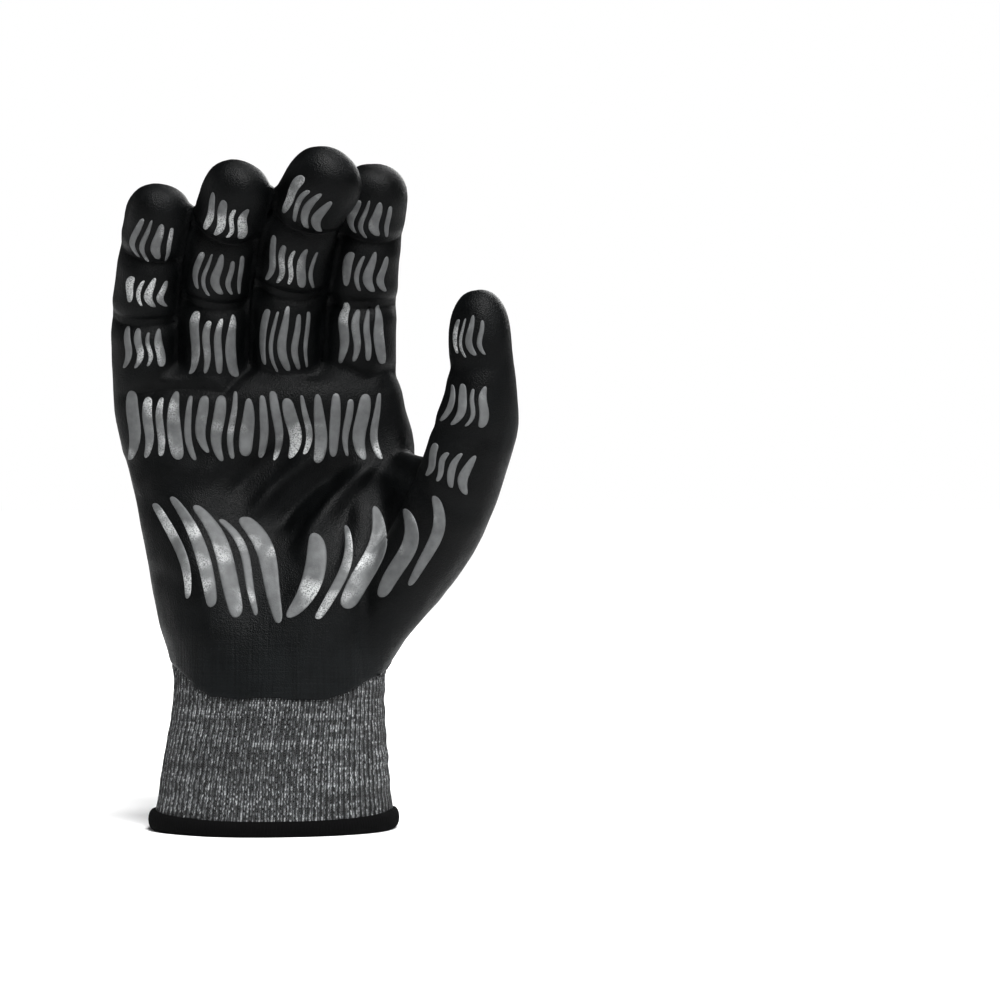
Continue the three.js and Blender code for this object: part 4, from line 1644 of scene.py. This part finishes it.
@dataclass
class HandShell:
    """The knitted hand and the foam over it, cut from one worked skin."""

    skin: Skin
    run: KnitRun
    nodes: dict[str, bpy.types.Object]
    keep: float = 0.125
    longest_edge: float = 2.4
    lowest: float = 26.0
    field_limit: float = 9.0
    knit_from: float = 79.4
    knit_tuck: float = 3.0
    tuck_depth: float = 0.12
    lining_from: float = 76.0
    lining_keep: float = 0.035
    foam_wall: float = 0.9
    knit_wall: float = 1.0
    lining_wall: float = 0.45
    even_below: float = 72.0
    edge_steps: tuple[float, ...] = (0.0, -0.2, -0.5, -1.0)
    edge_rise: float = 0.40
    line_rounds: int = 16
    beside_rounds: int = 3
    beside_line: float = 2.0
    cut: Skin | None = None
    bare: np.ndarray | None = None
    bare_tree: KDTree | None = None
    coat_skin: Skin | None = None

    @staticmethod
    def _node_tree(*nodes: bpy.types.Object) -> BVHTree:
        """Search tree over CAD nodes, in millimetres.

        Args:
            nodes: the CAD nodes.

        Returns:
            The tree.
        """
        points, faces = [], []
        for node in nodes:
            start = len(points)
            points += [tuple(vert.co / MM) for vert in node.data.vertices]
            faces += [tuple(i + start for i in face.vertices) for face in node.data.polygons]
        return BVHTree.FromPolygons(points, faces)

    def bare_field(self, skin: Skin) -> np.ndarray:
        """Millimetres inside the bare knit, negative under the foam.

        Args:
            skin: the skin.

        Returns:
            One value for each vertex.
        """
        foam = self._node_tree(self.nodes["palm_coating"])
        bare = self._node_tree(self.nodes["hand_knit"], self.nodes["wrist_cuff"])
        values = np.array([foam.find_nearest(Vector(point))[3] - bare.find_nearest(Vector(point))[3]
                           for point in skin.points.tolist()])
        values = skin.smooth_values(np.clip(values, -self.field_limit, self.field_limit), 16)
        low = smoothstep(self.even_below - skin.points[:, 2], 0.0, 10.0)
        return skin.smooth_values(values, 90, low)

    def thin_out(self) -> Skin:
        """Fewer faces, with the most where the form bends.

        Returns:
            The thinner skin, without the lowest part of the cuff.
        """
        used, faces = keep_part(self.skin, self.skin.points[:, 2] > self.lowest)
        piece = new_object("worked_skin", self.skin.points[used], faces.tolist())
        thin_faces(piece, self.keep)
        return split_long(Skin.taken_from(piece), self.longest_edge)

    def build(self, knit: KnitFinish, foam: FoamFinish, lining: KnitFinish) -> None:
        """Makes the knitted hand, the foam and the lining.

        Args:
            knit: finish of the bare knit.
            foam: finish of the coating.
            lining: finish of the inside.
        """
        skin = self.thin_out()
        self.cut, self.bare = SkinCutter(skin, self.bare_field(skin)).cut(self.edge_steps)
        self._even_line()
        self._remember()
        normals = self.cut.normals()
        self._foam(normals, foam)
        self._knit(normals, knit)
        self._lining(lining)

    def _even_line(self) -> None:
        """Takes the jags out of the foam's edge."""
        skin, line = self.cut, np.abs(self.bare) < ON_LINE
        border = Skin(skin.points, skin.faces[:0], skin.edges[line[skin.edges].all(axis=1)])
        border.relax(self.line_rounds, line)
        skin.points = border.points
        skin.relax(self.beside_rounds, (np.abs(self.bare) < self.beside_line) & ~line)

    def _remember(self) -> None:
        """Keeps where the cut skin's low vertices lie, for the cuff."""
        points = self.cut.points
        low = np.flatnonzero(points[:, 2] < CUFF_LENGTH + 6.0)
        self.bare_tree = KDTree(len(low))
        for i in low:
            self.bare_tree.insert(points[i], int(i))
        self.bare_tree.balance()

    def bare_at(self, points: np.ndarray) -> np.ndarray:
        """Millimetres inside the bare knit at places on the cuff, negative under the foam.

        Args:
            points: places in millimetres.

        Returns:
            One value for each place.
        """
        nearest = [self.bare_tree.find_n(Vector(point), 3) for point in points]
        found = []
        for hits in nearest:
            weights = [1.0 / (distance + 0.05) for _, _, distance in hits]
            values = [self.bare[i] for _, i, _ in hits]
            found.append(sum(w * v for w, v in zip(weights, values)) / sum(weights))
        return np.array(found)

    def _foam(self, normals: np.ndarray, foam: FoamFinish) -> None:
        """Foam wall with a rounded edge, a little above the knit.

        Args:
            normals: the cut skin's normals.
            foam: finish of the coating.
        """
        used, faces = keep_part(self.cut, self.bare < ON_LINE)
        inside = np.clip(-self.bare[used] / -self.edge_steps[-1], 0.0, 1.0)
        rise = self.edge_rise + (COAT_RISE - self.edge_rise) * np.sqrt(1 - (1 - inside) ** 2)
        points = self.cut.points[used] + normals[used] * rise[:, None]
        piece = new_object("foam_coating", points, faces.tolist())
        self.coat_skin = Skin(points, faces, np.empty((0, 2), dtype=np.int64))
        self._thicken(piece, self.foam_wall)
        dress(piece, foam.material(), "foam_coating", "palm_coating")

    def _knit(self, normals: np.ndarray, knit: KnitFinish) -> None:
        """Knit wall over the back, tucked under the foam's edge.

        Args:
            normals: the cut skin's normals.
            knit: finish of the bare knit.
        """
        wanted = (self.bare > -self.knit_tuck) & (self.cut.points[:, 2] > self.knit_from)
        used, faces = keep_part(self.cut, wanted)
        sunk = self.tuck_depth * smoothstep(-self.bare[used], 0.2, 1.2)
        points = self.cut.points[used] - normals[used] * sunk[:, None]
        piece = new_object("hand_knit_cloth", points, faces.tolist())
        set_uv(piece, self.run.corners(points, faces))
        self._thicken(piece, self.knit_wall)
        dress(piece, knit.material(), "hand_knit", "hand_knit")

    def _lining(self, lining: KnitFinish) -> None:
        """Inner face of the knit, seen through the wrist opening.

        Args:
            lining: finish of the inside.
        """
        used, faces = keep_part(self.skin, self.skin.points[:, 2] > self.lining_from)
        inset = KNIT_WALL - self.lining_wall
        points = self.skin.points[used] - self.skin.normals()[used] * inset
        piece = new_object("lining_knit", points, faces.tolist())
        thin_faces(piece, self.lining_keep)
        flat = np.array([vert.co for vert in piece.data.vertices]) / MM
        set_uv(piece, flat[corner_vertices(piece.data)][:, [0, 2]])
        self._thicken(piece, self.lining_wall)
        dress(piece, lining.material(), "hand_knit")

    @staticmethod
    def _thicken(piece: bpy.types.Object, wall: float) -> None:
        """Gives an open surface a wall towards its inside.

        Args:
            piece: the mesh object.
            wall: millimetres.
        """
        solid = piece.modifiers.new("wall", "SOLIDIFY")
        solid.thickness = wall * MM
        solid.offset = -1.0
        solid.use_even_offset = False
        apply_modifiers(piece)


@dataclass
class RibCuff:
    """Ribbed cuff: fine upright ribs with soft bands, from the hem to the hand."""

    skin: Skin
    shell: HandShell
    ribs: int = 100
    per_rib: int = 6
    inner_per_rib: int = 2
    rows: int = 78
    low: float = 3.6
    high: float = 80.6
    rib_rise: float = 0.27
    rib_sink: float = 0.10
    rib_round: float = 0.8
    rib_lumps: tuple[float, float] = (0.75, 1.2)
    band_rise: float = 0.12
    band_pitch: float = 8.2
    sway: float = 0.35
    sway_pitch: float = 17.0
    tuck: float = 0.55
    flare: float = 0.5
    foot_below: float = 11.0
    foot_ribs: float = 0.9
    top_sink: float = 0.12
    centre: tuple[float, float] = (2.0, 2.0)
    rays: int = 360
    seed: int = 11

    def outline(self, heights: np.ndarray, count: int) -> np.ndarray:
        """Sections of the skin with evenly spaced points.

        Args:
            heights: millimetres above the opening.
            count: points in each section.

        Returns:
            One closed ring of points for each height.
        """
        tree = self.skin.tree()
        angles = np.arange(self.rays) / self.rays * ROUND + math.pi / 2
        rings = []
        for height in heights:
            start = Vector((*self.centre, max(float(height), -5.0)))
            reach = []
            for angle in angles:
                hit = tree.ray_cast(start, Vector((math.cos(angle), math.sin(angle), 0.0)))
                reach.append((hit[0] - start).length)
            reach = np.array(reach)
            for _ in range(6):
                reach = 0.5 * reach + 0.25 * (np.roll(reach, 1) + np.roll(reach, -1))
            ring = np.stack([start.x + reach * np.cos(angles), start.y + reach * np.sin(angles),
                             np.full(self.rays, float(height))], axis=1)
            closed = np.vstack([ring, ring[:1]])
            steps = np.r_[0.0, np.cumsum(np.linalg.norm(np.diff(closed, axis=0), axis=1))]
            even = np.arange(count) / count * steps[-1]
            rings.append(np.stack([np.interp(even, steps, closed[:, i]) for i in range(3)], axis=1))
        return np.array(rings)

    def _cover(self, rings: np.ndarray) -> np.ndarray:
        """One where the foam lies over the cuff, fading to 0 beside its edge.

        Args:
            rings: sections of the cuff.

        Returns:
            The share for each of their points.
        """
        cover = np.zeros(rings.shape[:2])
        lowest = self.shell.coat_skin.points[:, 2].min() - 3.0
        for row in np.flatnonzero(rings[:, 0, 2] > lowest):
            cover[row] = 1.0 - smoothstep(self.shell.bare_at(rings[row]), -0.5, 1.1)
        return cover

    @staticmethod
    def outward(rings: np.ndarray) -> np.ndarray:
        """Level outward directions of rings that run against the clock."""
        along = np.roll(rings, -1, axis=1) - np.roll(rings, 1, axis=1)
        return unit(np.stack([along[..., 1], -along[..., 0], np.zeros_like(along[..., 0])], axis=-1))

    def build(self, finish: KnitFinish) -> None:
        """Makes the cuff's ribbed wall.

        Args:
            finish: finish of the rib knit.
        """
        heights = np.linspace(self.low, self.high, self.rows)
        outer = self.outline(heights, self.ribs * self.per_rib)
        out = self.outward(outer)
        rise = self._rise(heights)
        cover = self._cover(outer)
        rise = rise * (1 - cover) - self.tuck * cover
        phase = self._phase()
        lag = 2 * np.sin(phase / self.ribs * 2)[None, :]
        sway = self.sway * np.sin(heights[:, None] / self.sway_pitch + lag)
        across = np.cross(out, (0.0, 0.0, 1.0))
        outer = outer + out * rise[..., None] + across * sway[..., None]
        step = self.per_rib // self.inner_per_rib
        inner = outer[:, ::step] - out[:, ::step] * (KNIT_WALL + rise[:, ::step])[..., None]
        verts = np.vstack([outer.reshape(-1, 3), inner.reshape(-1, 3)])
        piece = new_object("rib_cuff", verts, self._faces(step))
        set_uv(piece, self._map(piece.data, verts))
        dress(piece, finish.material(), "rib_knit", "wrist_cuff")

    def _phase(self) -> np.ndarray:
        """Angle of the rib wave at each point round the cuff."""
        return np.arange(self.ribs * self.per_rib) / self.per_rib * ROUND

    def _rise(self, heights: np.ndarray) -> np.ndarray:
        """How far ribs, bands and foot stand out of the plain cuff.

        Args:
            heights: millimetres above the opening, one for each row.

        Returns:
            Millimetres outwards for each row and each point round it.
        """
        phase = self._phase()
        lumps = np.random.default_rng(self.seed).uniform(*self.rib_lumps, (1, self.ribs))
        uneven = np.repeat(lumps, self.per_rib, axis=1)
        fade = smoothstep(self.high - heights, -0.5, 4.0)[:, None]
        foot = smoothstep(self.foot_below - heights, 0.0, 6.0)[:, None]
        drift = 1 + 0.5 * np.sin(phase / self.ribs * 3)[None, :]
        band = self.band_rise * np.sin(heights / self.band_pitch * ROUND)[:, None] * drift
        wave = np.sign(np.cos(phase)) * np.abs(np.cos(phase)) ** self.rib_round
        ribs = (self.rib_rise * wave[None, :] * uneven - self.rib_sink) * (0.25 + 0.75 * fade)
        ribs = ribs * (1 + self.foot_ribs * foot)
        return ribs + band * fade - self.top_sink * (1 - fade) + self.flare * foot

    def _faces(self, step: int) -> list[tuple]:
        """Faces of the outer and inner walls and of the two rims between them.

        Args:
            step: outer points for each inner one.

        Returns:
            The corner numbers of each face.
        """
        count, inner_count = self.ribs * self.per_rib, self.ribs * self.inner_per_rib
        start, top = self.rows * count, self.rows - 1
        faces = ring_faces(self.rows, count) + ring_faces(self.rows, inner_count, start, True)
        for k in range(inner_count):
            n = (k + 1) % inner_count
            span = [(k * step + i) % count for i in range(step + 1)]
            faces.append((start + k, start + n, *reversed(span)))
            faces.append((start + top * inner_count + n, start + top * inner_count + k,
                          *(top * count + i for i in span)))
        return faces

    def _map(self, mesh: bpy.types.Mesh, verts: np.ndarray) -> np.ndarray:
        """Maps ribs across and millimetres along, with the seam inside one column.

        Args:
            mesh: the cuff's mesh.
            verts: its vertices, in millimetres.

        Returns:
            Across and along for each corner of each face.
        """
        outer = np.tile(np.arange(self.ribs * self.per_rib) / self.per_rib, self.rows)
        inner = np.tile(np.arange(self.ribs * self.inner_per_rib) / self.inner_per_rib, self.rows)
        across = np.r_[outer, inner]
        corners = corner_vertices(mesh)
        places = across[corners]
        starts = np.empty(len(mesh.polygons), dtype=np.int64)
        mesh.polygons.foreach_get("loop_start", starts)
        wide = np.maximum.reduceat(places, starts) - np.minimum.reduceat(places, starts)
        on_seam = np.repeat(wide > self.ribs / 2, np.diff(np.r_[starts, len(corners)]))
        places[on_seam & (places < self.ribs / 2)] += self.ribs
        return np.stack([places, verts[corners, 2]], axis=1)


@dataclass
class HemRoll:
    """Rolled edge of the cuff, overlocked with slanted yarn."""

    cuff: RibCuff
    count: int = 900
    sides: int = 16
    wraps: int = 210
    lap: float = 0.9
    rise: float = 0.14
    front_share: float = 0.80
    side_share: float = 1.08
    slump: float = 0.22
    slumps: int = 5

    def build(self, finish: HemFinish) -> None:
        """Makes the roll.

        Args:
            finish: finish of the yarn.
        """
        line = self.cuff.outline(np.array([HEM_HEIGHT / 2]), self.count)
        out = self.cuff.outward(line)[0]
        line = line[0]
        angle = np.arange(self.sides) / self.sides * ROUND
        turn = np.arange(self.count) / self.count * self.wraps
        thread = np.abs(np.sin(math.pi * (turn[:, None] + angle[None, :] / ROUND * self.lap)))
        swell = self.rise * (thread ** 0.7 - 0.6)
        wide = (HEM_ROLL + KNIT_WALL) / 2 + swell
        beside = out[:, :1] ** 2
        share = self.front_share + (self.side_share - self.front_share) * beside
        middle = HEM_HEIGHT / 2 * share
        tall = middle + np.minimum(swell, 0.0)
        sideways = (HEM_ROLL - KNIT_WALL) / 2 + wide * np.cos(angle)[None, :]
        slump = self.slump * np.sin(turn / self.wraps * ROUND * self.slumps)[:, None]
        up = middle + tall * np.sin(angle)[None, :]
        rings = line[:, None, :] + out[:, None, :] * (sideways + slump)[..., None]
        rings[..., 2] = up
        faces = []
        for k in range(self.count):
            n = (k + 1) % self.count
            for i in range(self.sides):
                j = (i + 1) % self.sides
                faces.append((k * self.sides + i, n * self.sides + i, n * self.sides + j,
                              k * self.sides + j))
        piece = new_object("hem_roll", rings.reshape(-1, 3), faces)
        k, i = np.divmod(np.arange(len(faces)), self.sides)
        across = (k[:, None] + (0, 1, 1, 0)) / self.count * self.wraps
        along = (i[:, None] + (0, 0, 1, 1)) / self.sides
        set_uv(piece, np.stack([across, along], axis=2).reshape(-1, 2))
        dress(piece, finish.material(), "hem_yarn", "hem_binding")


@dataclass(frozen=True)
class Bar:
    """One raised bar of the grip print, in the flat of its pad.

    x and z give its middle, length and width its size, tilt its lean in degrees, bow how far
    it curves to one side, sway how far it snakes, and lean_to moves its widest place.
    """

    FULLNESS = 2.6
    SLIM = 0.66
    LEAST_HALF = 0.05
    EDGE_ACROSS = 2.2
    EDGE_ALONG = 14
    x: float
    z: float
    length: float
    width: float
    tilt: float = 0.0
    bow: float = 0.0
    sway: float = 0.0
    lean_to: float = 0.0

    def grid(self, along: int, across: int) -> tuple[np.ndarray, np.ndarray, np.ndarray]:
        """Places of the bar's surface in the flat.

        Args:
            along: points along the bar.
            across: points across it.

        Returns:
            Sideways places, upright places and how near each point is to the edge.
        """
        s = (1 - np.cos(np.linspace(0, math.pi, along))) / 2
        t = np.sin(np.linspace(-1, 1, across) * math.pi / 2)
        arch = 4 * s * (1 - s)
        middle = self.bow * (arch - 0.5) + self.sway * np.sin(ROUND * s)
        power = self.FULLNESS * self.length / self.width
        ends = np.sqrt(np.clip(1 - np.abs(2 * s - 1) ** power, 0.0, 1.0))
        taper = 1 + self.lean_to * (2 * s - 1)
        girth = self.SLIM + (1 - self.SLIM) * np.clip(arch, 0, 1)
        half = np.maximum(self.width / 2 * girth * ends * taper, self.LEAST_HALF)
        u = middle[:, None] + half[:, None] * t[None, :]
        v = np.repeat(((s - 0.5) * self.length)[:, None], across, axis=1)
        angle = math.radians(self.tilt)
        edge = np.minimum((1 - np.abs(t))[None, :] * self.EDGE_ACROSS,
                          np.minimum(s, 1 - s)[:, None] * self.EDGE_ALONG)
        return (self.x + u * math.cos(angle) + v * math.sin(angle),
                self.z + v * math.cos(angle) - u * math.sin(angle), np.clip(edge, 0, 1))


@dataclass(frozen=True)
class BarRow:
    """A row of nested bars in the flat of a pad.

    x and z give its middle, span and height its size. tilt is the lean of the bars, fan how much
    it changes over the row, bow how far they curve, climb how far the row rises to the right.
    """

    x: float
    z: float
    span: float
    height: float
    count: int
    seed: float = 0.0
    gap: float = 1.6
    tilt: float = 0.0
    fan: float = 0.0
    bow: float = 2.1
    climb: float = 0.0
    stir: float = 3.5

    def bars(self) -> tuple[Bar, ...]:
        """The row's bars, side by side with even gaps.

        Returns:
            The bars, from left to right.
        """
        k = np.arange(self.count)
        widths = 1 + 0.36 * np.sin(2.4 * k + self.seed)
        widths *= (self.span - self.gap * (self.count - 1)) / widths.sum()
        middles = np.cumsum(widths + self.gap) - widths / 2 - self.gap - self.span / 2
        share = middles / self.span
        heights = self.height * (0.93 + 0.09 * np.sin(1.9 * k + 2 * self.seed))
        tilts = self.tilt + self.fan * share + self.stir * np.sin(0.9 * k + self.seed)
        bows = self.bow * np.cos(0.5 * k + self.seed) if self.fan == 0 else \
            np.full(self.count, self.bow)
        sways = 0.35 * self.bow * np.sin(0.6 * k + 1.4 * self.seed)
        lifts = self.climb * share + 0.03 * self.height * np.sin(2.7 * k + self.seed)
        return tuple(Bar(self.x + middle, self.z + lift, height, width, tilt, bow, sway,
                         0.25 * math.sin(1.3 * i + self.seed))
                     for i, middle, lift, height, width, tilt, bow, sway
                     in zip(k, middles, lifts, heights, widths, tilts, bows, sways))


# Rows of each digit: x is millimetres round it from the pad's middle, z the share of its length.
DIGIT_ROWS = {
    Digit.LITTLE: (BarRow(0.0, 0.375, 15.5, 16.0, 4, 0.4), BarRow(0.5, 0.61, 15.5, 12.0, 4, 1.9),
                   BarRow(0.8, 0.825, 15.0, 18.0, 4, 3.1)),
    Digit.RING: (BarRow(0.0, 0.33, 18.5, 24.5, 4, 1.1), BarRow(0.5, 0.61, 18.5, 18.0, 5, 2.6),
                 BarRow(0.5, 0.84, 17.0, 17.0, 4, 0.2)),
    Digit.MIDDLE: (BarRow(0.0, 0.315, 19.0, 26.0, 5, 2.2), BarRow(0.0, 0.60, 19.0, 18.5, 5, 0.7),
                   BarRow(0.0, 0.84, 18.0, 18.0, 4, 1.6)),
    Digit.INDEX: (BarRow(0.5, 0.36, 18.5, 23.0, 4, 0.9), BarRow(0.5, 0.615, 17.5, 16.0, 4, 2.0),
                  BarRow(0.0, 0.835, 16.0, 16.0, 4, 2.9)),
    Digit.THUMB: (BarRow(6.5, 0.585, 15.5, 14.0, 4, 1.3), BarRow(7.0, 0.735, 16.0, 15.5, 4, 0.1),
                  BarRow(6.0, 0.895, 14.5, 14.5, 4, 2.4)),
}
PALM_PRINT = (
    BarRow(-8.5, 148.0, 94.0, 25.0, 18, 0.8, 1.5),
    BarRow(-25.0, 101.0, 48.0, 44.0, 6, 1.5, 3.4, -21.0, 3.0, 3.4, -13.0, 1.2),
    BarRow(32.0, 98.5, 49.0, 38.0, 5, 2.2, 5.0, 17.0, -3.0, 4.0, 15.0, 0.3),
)


@dataclass
class GripPrint:
    """Raised grey bars on the pads, laid onto the foam."""

    form: HandForm
    coat: Skin
    along: int = 27
    across: int = 7
    rise: float = 0.34
    sunk: float = 0.25
    clear: float = 0.02
    in_front: float = -80.0

    def build(self, finish: PrintFinish) -> None:
        """Makes the print on the palm and on each digit.

        Args:
            finish: finish of the print.
        """
        material = finish.material()
        tree = self.coat.tree()
        self._piece("grip_print_palm", PALM_PRINT, material, self._onto_palm(tree))
        for digit, rows in DIGIT_ROWS.items():
            length = self.form.axes[digit].length
            laid = tuple(replace(row, z=row.z * length) for row in rows)
            self._piece(f"grip_print_{digit.name.lower()}", laid, material,
                        self._onto_digit(tree, digit))

    def _onto_palm(self, tree: BVHTree) -> Onto:
        """Gives the way from a flat place to the palm, from straight in front."""
        inward = Vector((0.0, 1.0, 0.0))
        return lambda u, v: tree.ray_cast(Vector((u, self.in_front, v)), inward)[0]

    def _onto_digit(self, tree: BVHTree, digit: Digit) -> Onto:
        """Gives the way from a flat place to a digit, out of its middle line.

        Args:
            tree: search tree of the foam.
            digit: the digit.

        Returns:
            The place on the foam for millimetres round and along the digit.
        """
        axis = self.form.axes[digit]
        radius = float(self.form.girth(digit, np.array([0.5]))[0]) / 2

        def onto(u: float, v: float) -> Vector | None:
            """Casts one ray out of the digit's middle line.

            Args:
                u: millimetres round the digit.
                v: millimetres along it.

            Returns:
                The place, or none.
            """
            centre, _, back, side = axis.frames(np.array([v / axis.length]))
            angle = u / radius
            way = side[0] * math.sin(angle) - back[0] * math.cos(angle)
            return tree.ray_cast(Vector(centre[0]), Vector(way))[0]

        return onto

    def _piece(self, name: str, rows: tuple[BarRow, ...], material: bpy.types.Material,
               onto: Onto) -> None:
        """Lays bars onto the foam and joins them into one piece.

        Args:
            name: the piece's name.
            rows: the rows of bars in the flat.
            material: the print's finish.
            onto: gives the place on the foam for a flat place, or none.
        """
        verts, faces = [], []
        for bar in (bar for row in rows for bar in row.bars()):
            u, v, edge = bar.grid(self.along, self.across)
            hits = [onto(a, b) for a, b in zip(u.ravel().tolist(), v.ravel().tolist())]
            if any(hit is None for hit in hits):
                LOG.warning("%s: a bar at %.0f, %.0f leaves the foam", name, bar.x, bar.z)
                continue
            grid = np.array([tuple(hit) for hit in hits]).reshape(self.along, self.across, 3)
            normal = unit(np.cross(np.gradient(grid, axis=1), np.gradient(grid, axis=0)))
            round_edge = np.sqrt(1 - (1 - edge) ** 2)[..., None]
            top = grid + normal * (self.rise * round_edge + self.clear)
            bottom = grid - normal * self.sunk
            start = len(verts)
            verts += top.reshape(-1, 3).tolist() + bottom.reshape(-1, 3).tolist()
            faces += [tuple(start + i for i in face) for face in self._bar_faces()]
        piece = new_object(name, np.array(verts), faces)
        pick(piece)
        bpy.ops.object.mode_set(mode="EDIT")
        bpy.ops.mesh.select_all(action="SELECT")
        bpy.ops.mesh.normals_make_consistent(inside=False)
        bpy.ops.object.mode_set(mode="OBJECT")
        dress(piece, material, "grip_print")

    def _bar_faces(self) -> list[tuple[int, ...]]:
        """Faces of one bar: top, underside and the wall between.

        Returns:
            Corner numbers of each face.
        """
        wide, size = self.across, self.along * self.across
        faces = []
        for i in range(self.along - 1):
            for j in range(wide - 1):
                a = i * wide + j
                faces.append((a, a + 1, a + 1 + wide, a + wide))
                faces.append((size + a, size + a + wide, size + a + 1 + wide, size + a + 1))
        rim = [i * wide for i in range(self.along)]
        rim += [(self.along - 1) * wide + j for j in range(1, wide)]
        rim += [i * wide + wide - 1 for i in range(self.along - 2, -1, -1)]
        rim += [j for j in range(wide - 2, 0, -1)]
        for a, b in zip(rim, rim[1:] + rim[:1]):
            faces.append((a, b, size + b, size + a))
        return faces


@dataclass(frozen=True)
class SoftLight:
    """A square light: its place, size in metres, power in watts and what it faces."""

    name: str
    place: Place
    size: float
    power: float
    aim: Place

    def build(self) -> None:
        """Hangs the light."""
        lamp = bpy.data.lights.new(self.name, "AREA")
        lamp.size = self.size
        lamp.energy = self.power
        holder = put_in(self.name, lamp)
        holder.location = self.place
        way = Vector(self.aim) - Vector(self.place)
        holder.rotation_euler = way.to_track_quat("-Z", "Y").to_euler()


@dataclass
class Studio:
    """Pale floor, soft light and the camera of the photograph."""

    eye: Place = (0.015, -1.050, 0.121)
    aim_x: float = 0.0825
    width: float = 0.370
    sensor: float = 36.0
    floor_size: float = 60.0
    surround: float = 0.075
    gamma: float = 0.8
    sky_way: Place = (-0.24, 0.60, -0.76)
    sky_power: float = 4.3
    sky_spread: float = 34.0
    lights: tuple[SoftLight, ...] = (
        SoftLight("key", (0.15, -0.20, 1.15), 0.25, 7.0, (0.0, 0.0, 0.17)),
        SoftLight("rim", (-1.0, 0.30, 0.45), 0.5, 1.6, (0.0, 0.0, 0.14)),
        SoftLight("back", (0.7, 1.2, 0.9), 0.9, 14.0, (0.0, 0.0, 0.12)),
    )

    def build(self) -> None:
        """Sets the floor, the lights, the world and the camera."""
        self._floor()
        self._world()
        self._sky()
        for light in self.lights:
            light.build()
        self._camera()

    def _floor(self) -> None:
        """Wide pale floor."""
        bpy.ops.object.select_all(action="DESELECT")
        bpy.ops.mesh.primitive_plane_add(size=self.floor_size, location=(0.0, 0.0, 0.0))
        floor = bpy.context.active_object
        floor.name = "floor"
        desk = NodeDesk("pale_floor")
        tone = desk.ramp(desk.noise(desk.place(), 3.0), (0.3, (0.93,) * 3), (0.7, (0.95,) * 3))
        floor.data.materials.append(desk.finish(Base_Color=tone, Roughness=0.9,
                                                Specular_IOR_Level=0.0))

    def _sky(self) -> None:
        """Broad even light from above in front."""
        lamp = bpy.data.lights.new("sky", "SUN")
        lamp.energy = self.sky_power
        lamp.angle = math.radians(self.sky_spread)
        holder = put_in("sky", lamp)
        holder.rotation_euler = Vector(self.sky_way).to_track_quat("-Z", "Y").to_euler()

    def _world(self) -> None:
        """White surroundings for the camera that light the glove only a little."""
        world = bpy.data.worlds.new("studio")
        world.use_nodes = True
        nodes, links = world.node_tree.nodes, world.node_tree.links
        back = nodes["Background"]
        back.inputs["Color"].default_value = (1.0, 1.0, 1.0, 1.0)
        seen = nodes.new("ShaderNodeLightPath")
        strength = nodes.new("ShaderNodeMapRange")
        strength.inputs["To Min"].default_value = self.surround
        strength.inputs["To Max"].default_value = 1.0
        links.new(seen.outputs["Is Camera Ray"], strength.inputs["Value"])
        links.new(strength.outputs[0], back.inputs["Strength"])
        bpy.context.scene.world = world
        bpy.context.scene.view_settings.view_transform = "Standard"
        bpy.context.scene.view_settings.gamma = self.gamma

    def _camera(self) -> None:
        """Camera at the photograph's angle and framing."""
        lens = bpy.data.cameras.new("camera")
        lens.sensor_width = self.sensor
        lens.lens = self.sensor * -self.eye[1] / self.width
        lens.clip_start = 0.05
        holder = put_in("camera", lens)
        holder.location = self.eye
        turn = math.atan2(self.aim_x - self.eye[0], -self.eye[1])
        holder.rotation_euler = (math.pi / 2, 0.0, -turn)
        bpy.context.scene.camera = holder


def main() -> None:
    """Builds the glove around its frame, piece by piece."""
    logging.basicConfig(level=logging.INFO, format="%(message)s")
    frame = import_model()
    form = HandForm()
    skin = form.skin()
    LOG.info("skin: %d faces", len(skin.faces))
    sculptor = Sculptor(form)
    sculptor.work(skin)
    shell = HandShell(skin, KnitRun(sculptor), frame["nodes"])
    shell.build(BACK_KNIT, FoamFinish("black_foam"), INNER_KNIT)
    cuff = RibCuff(skin, shell)
    cuff.build(RIB_KNIT)
    HemRoll(cuff).build(HemFinish("hem_yarn_black"))
    GripPrint(form, shell.coat_skin).build(PrintFinish("grip_print_grey"))
    Studio().build()


if __name__ == "__main__":
    main()
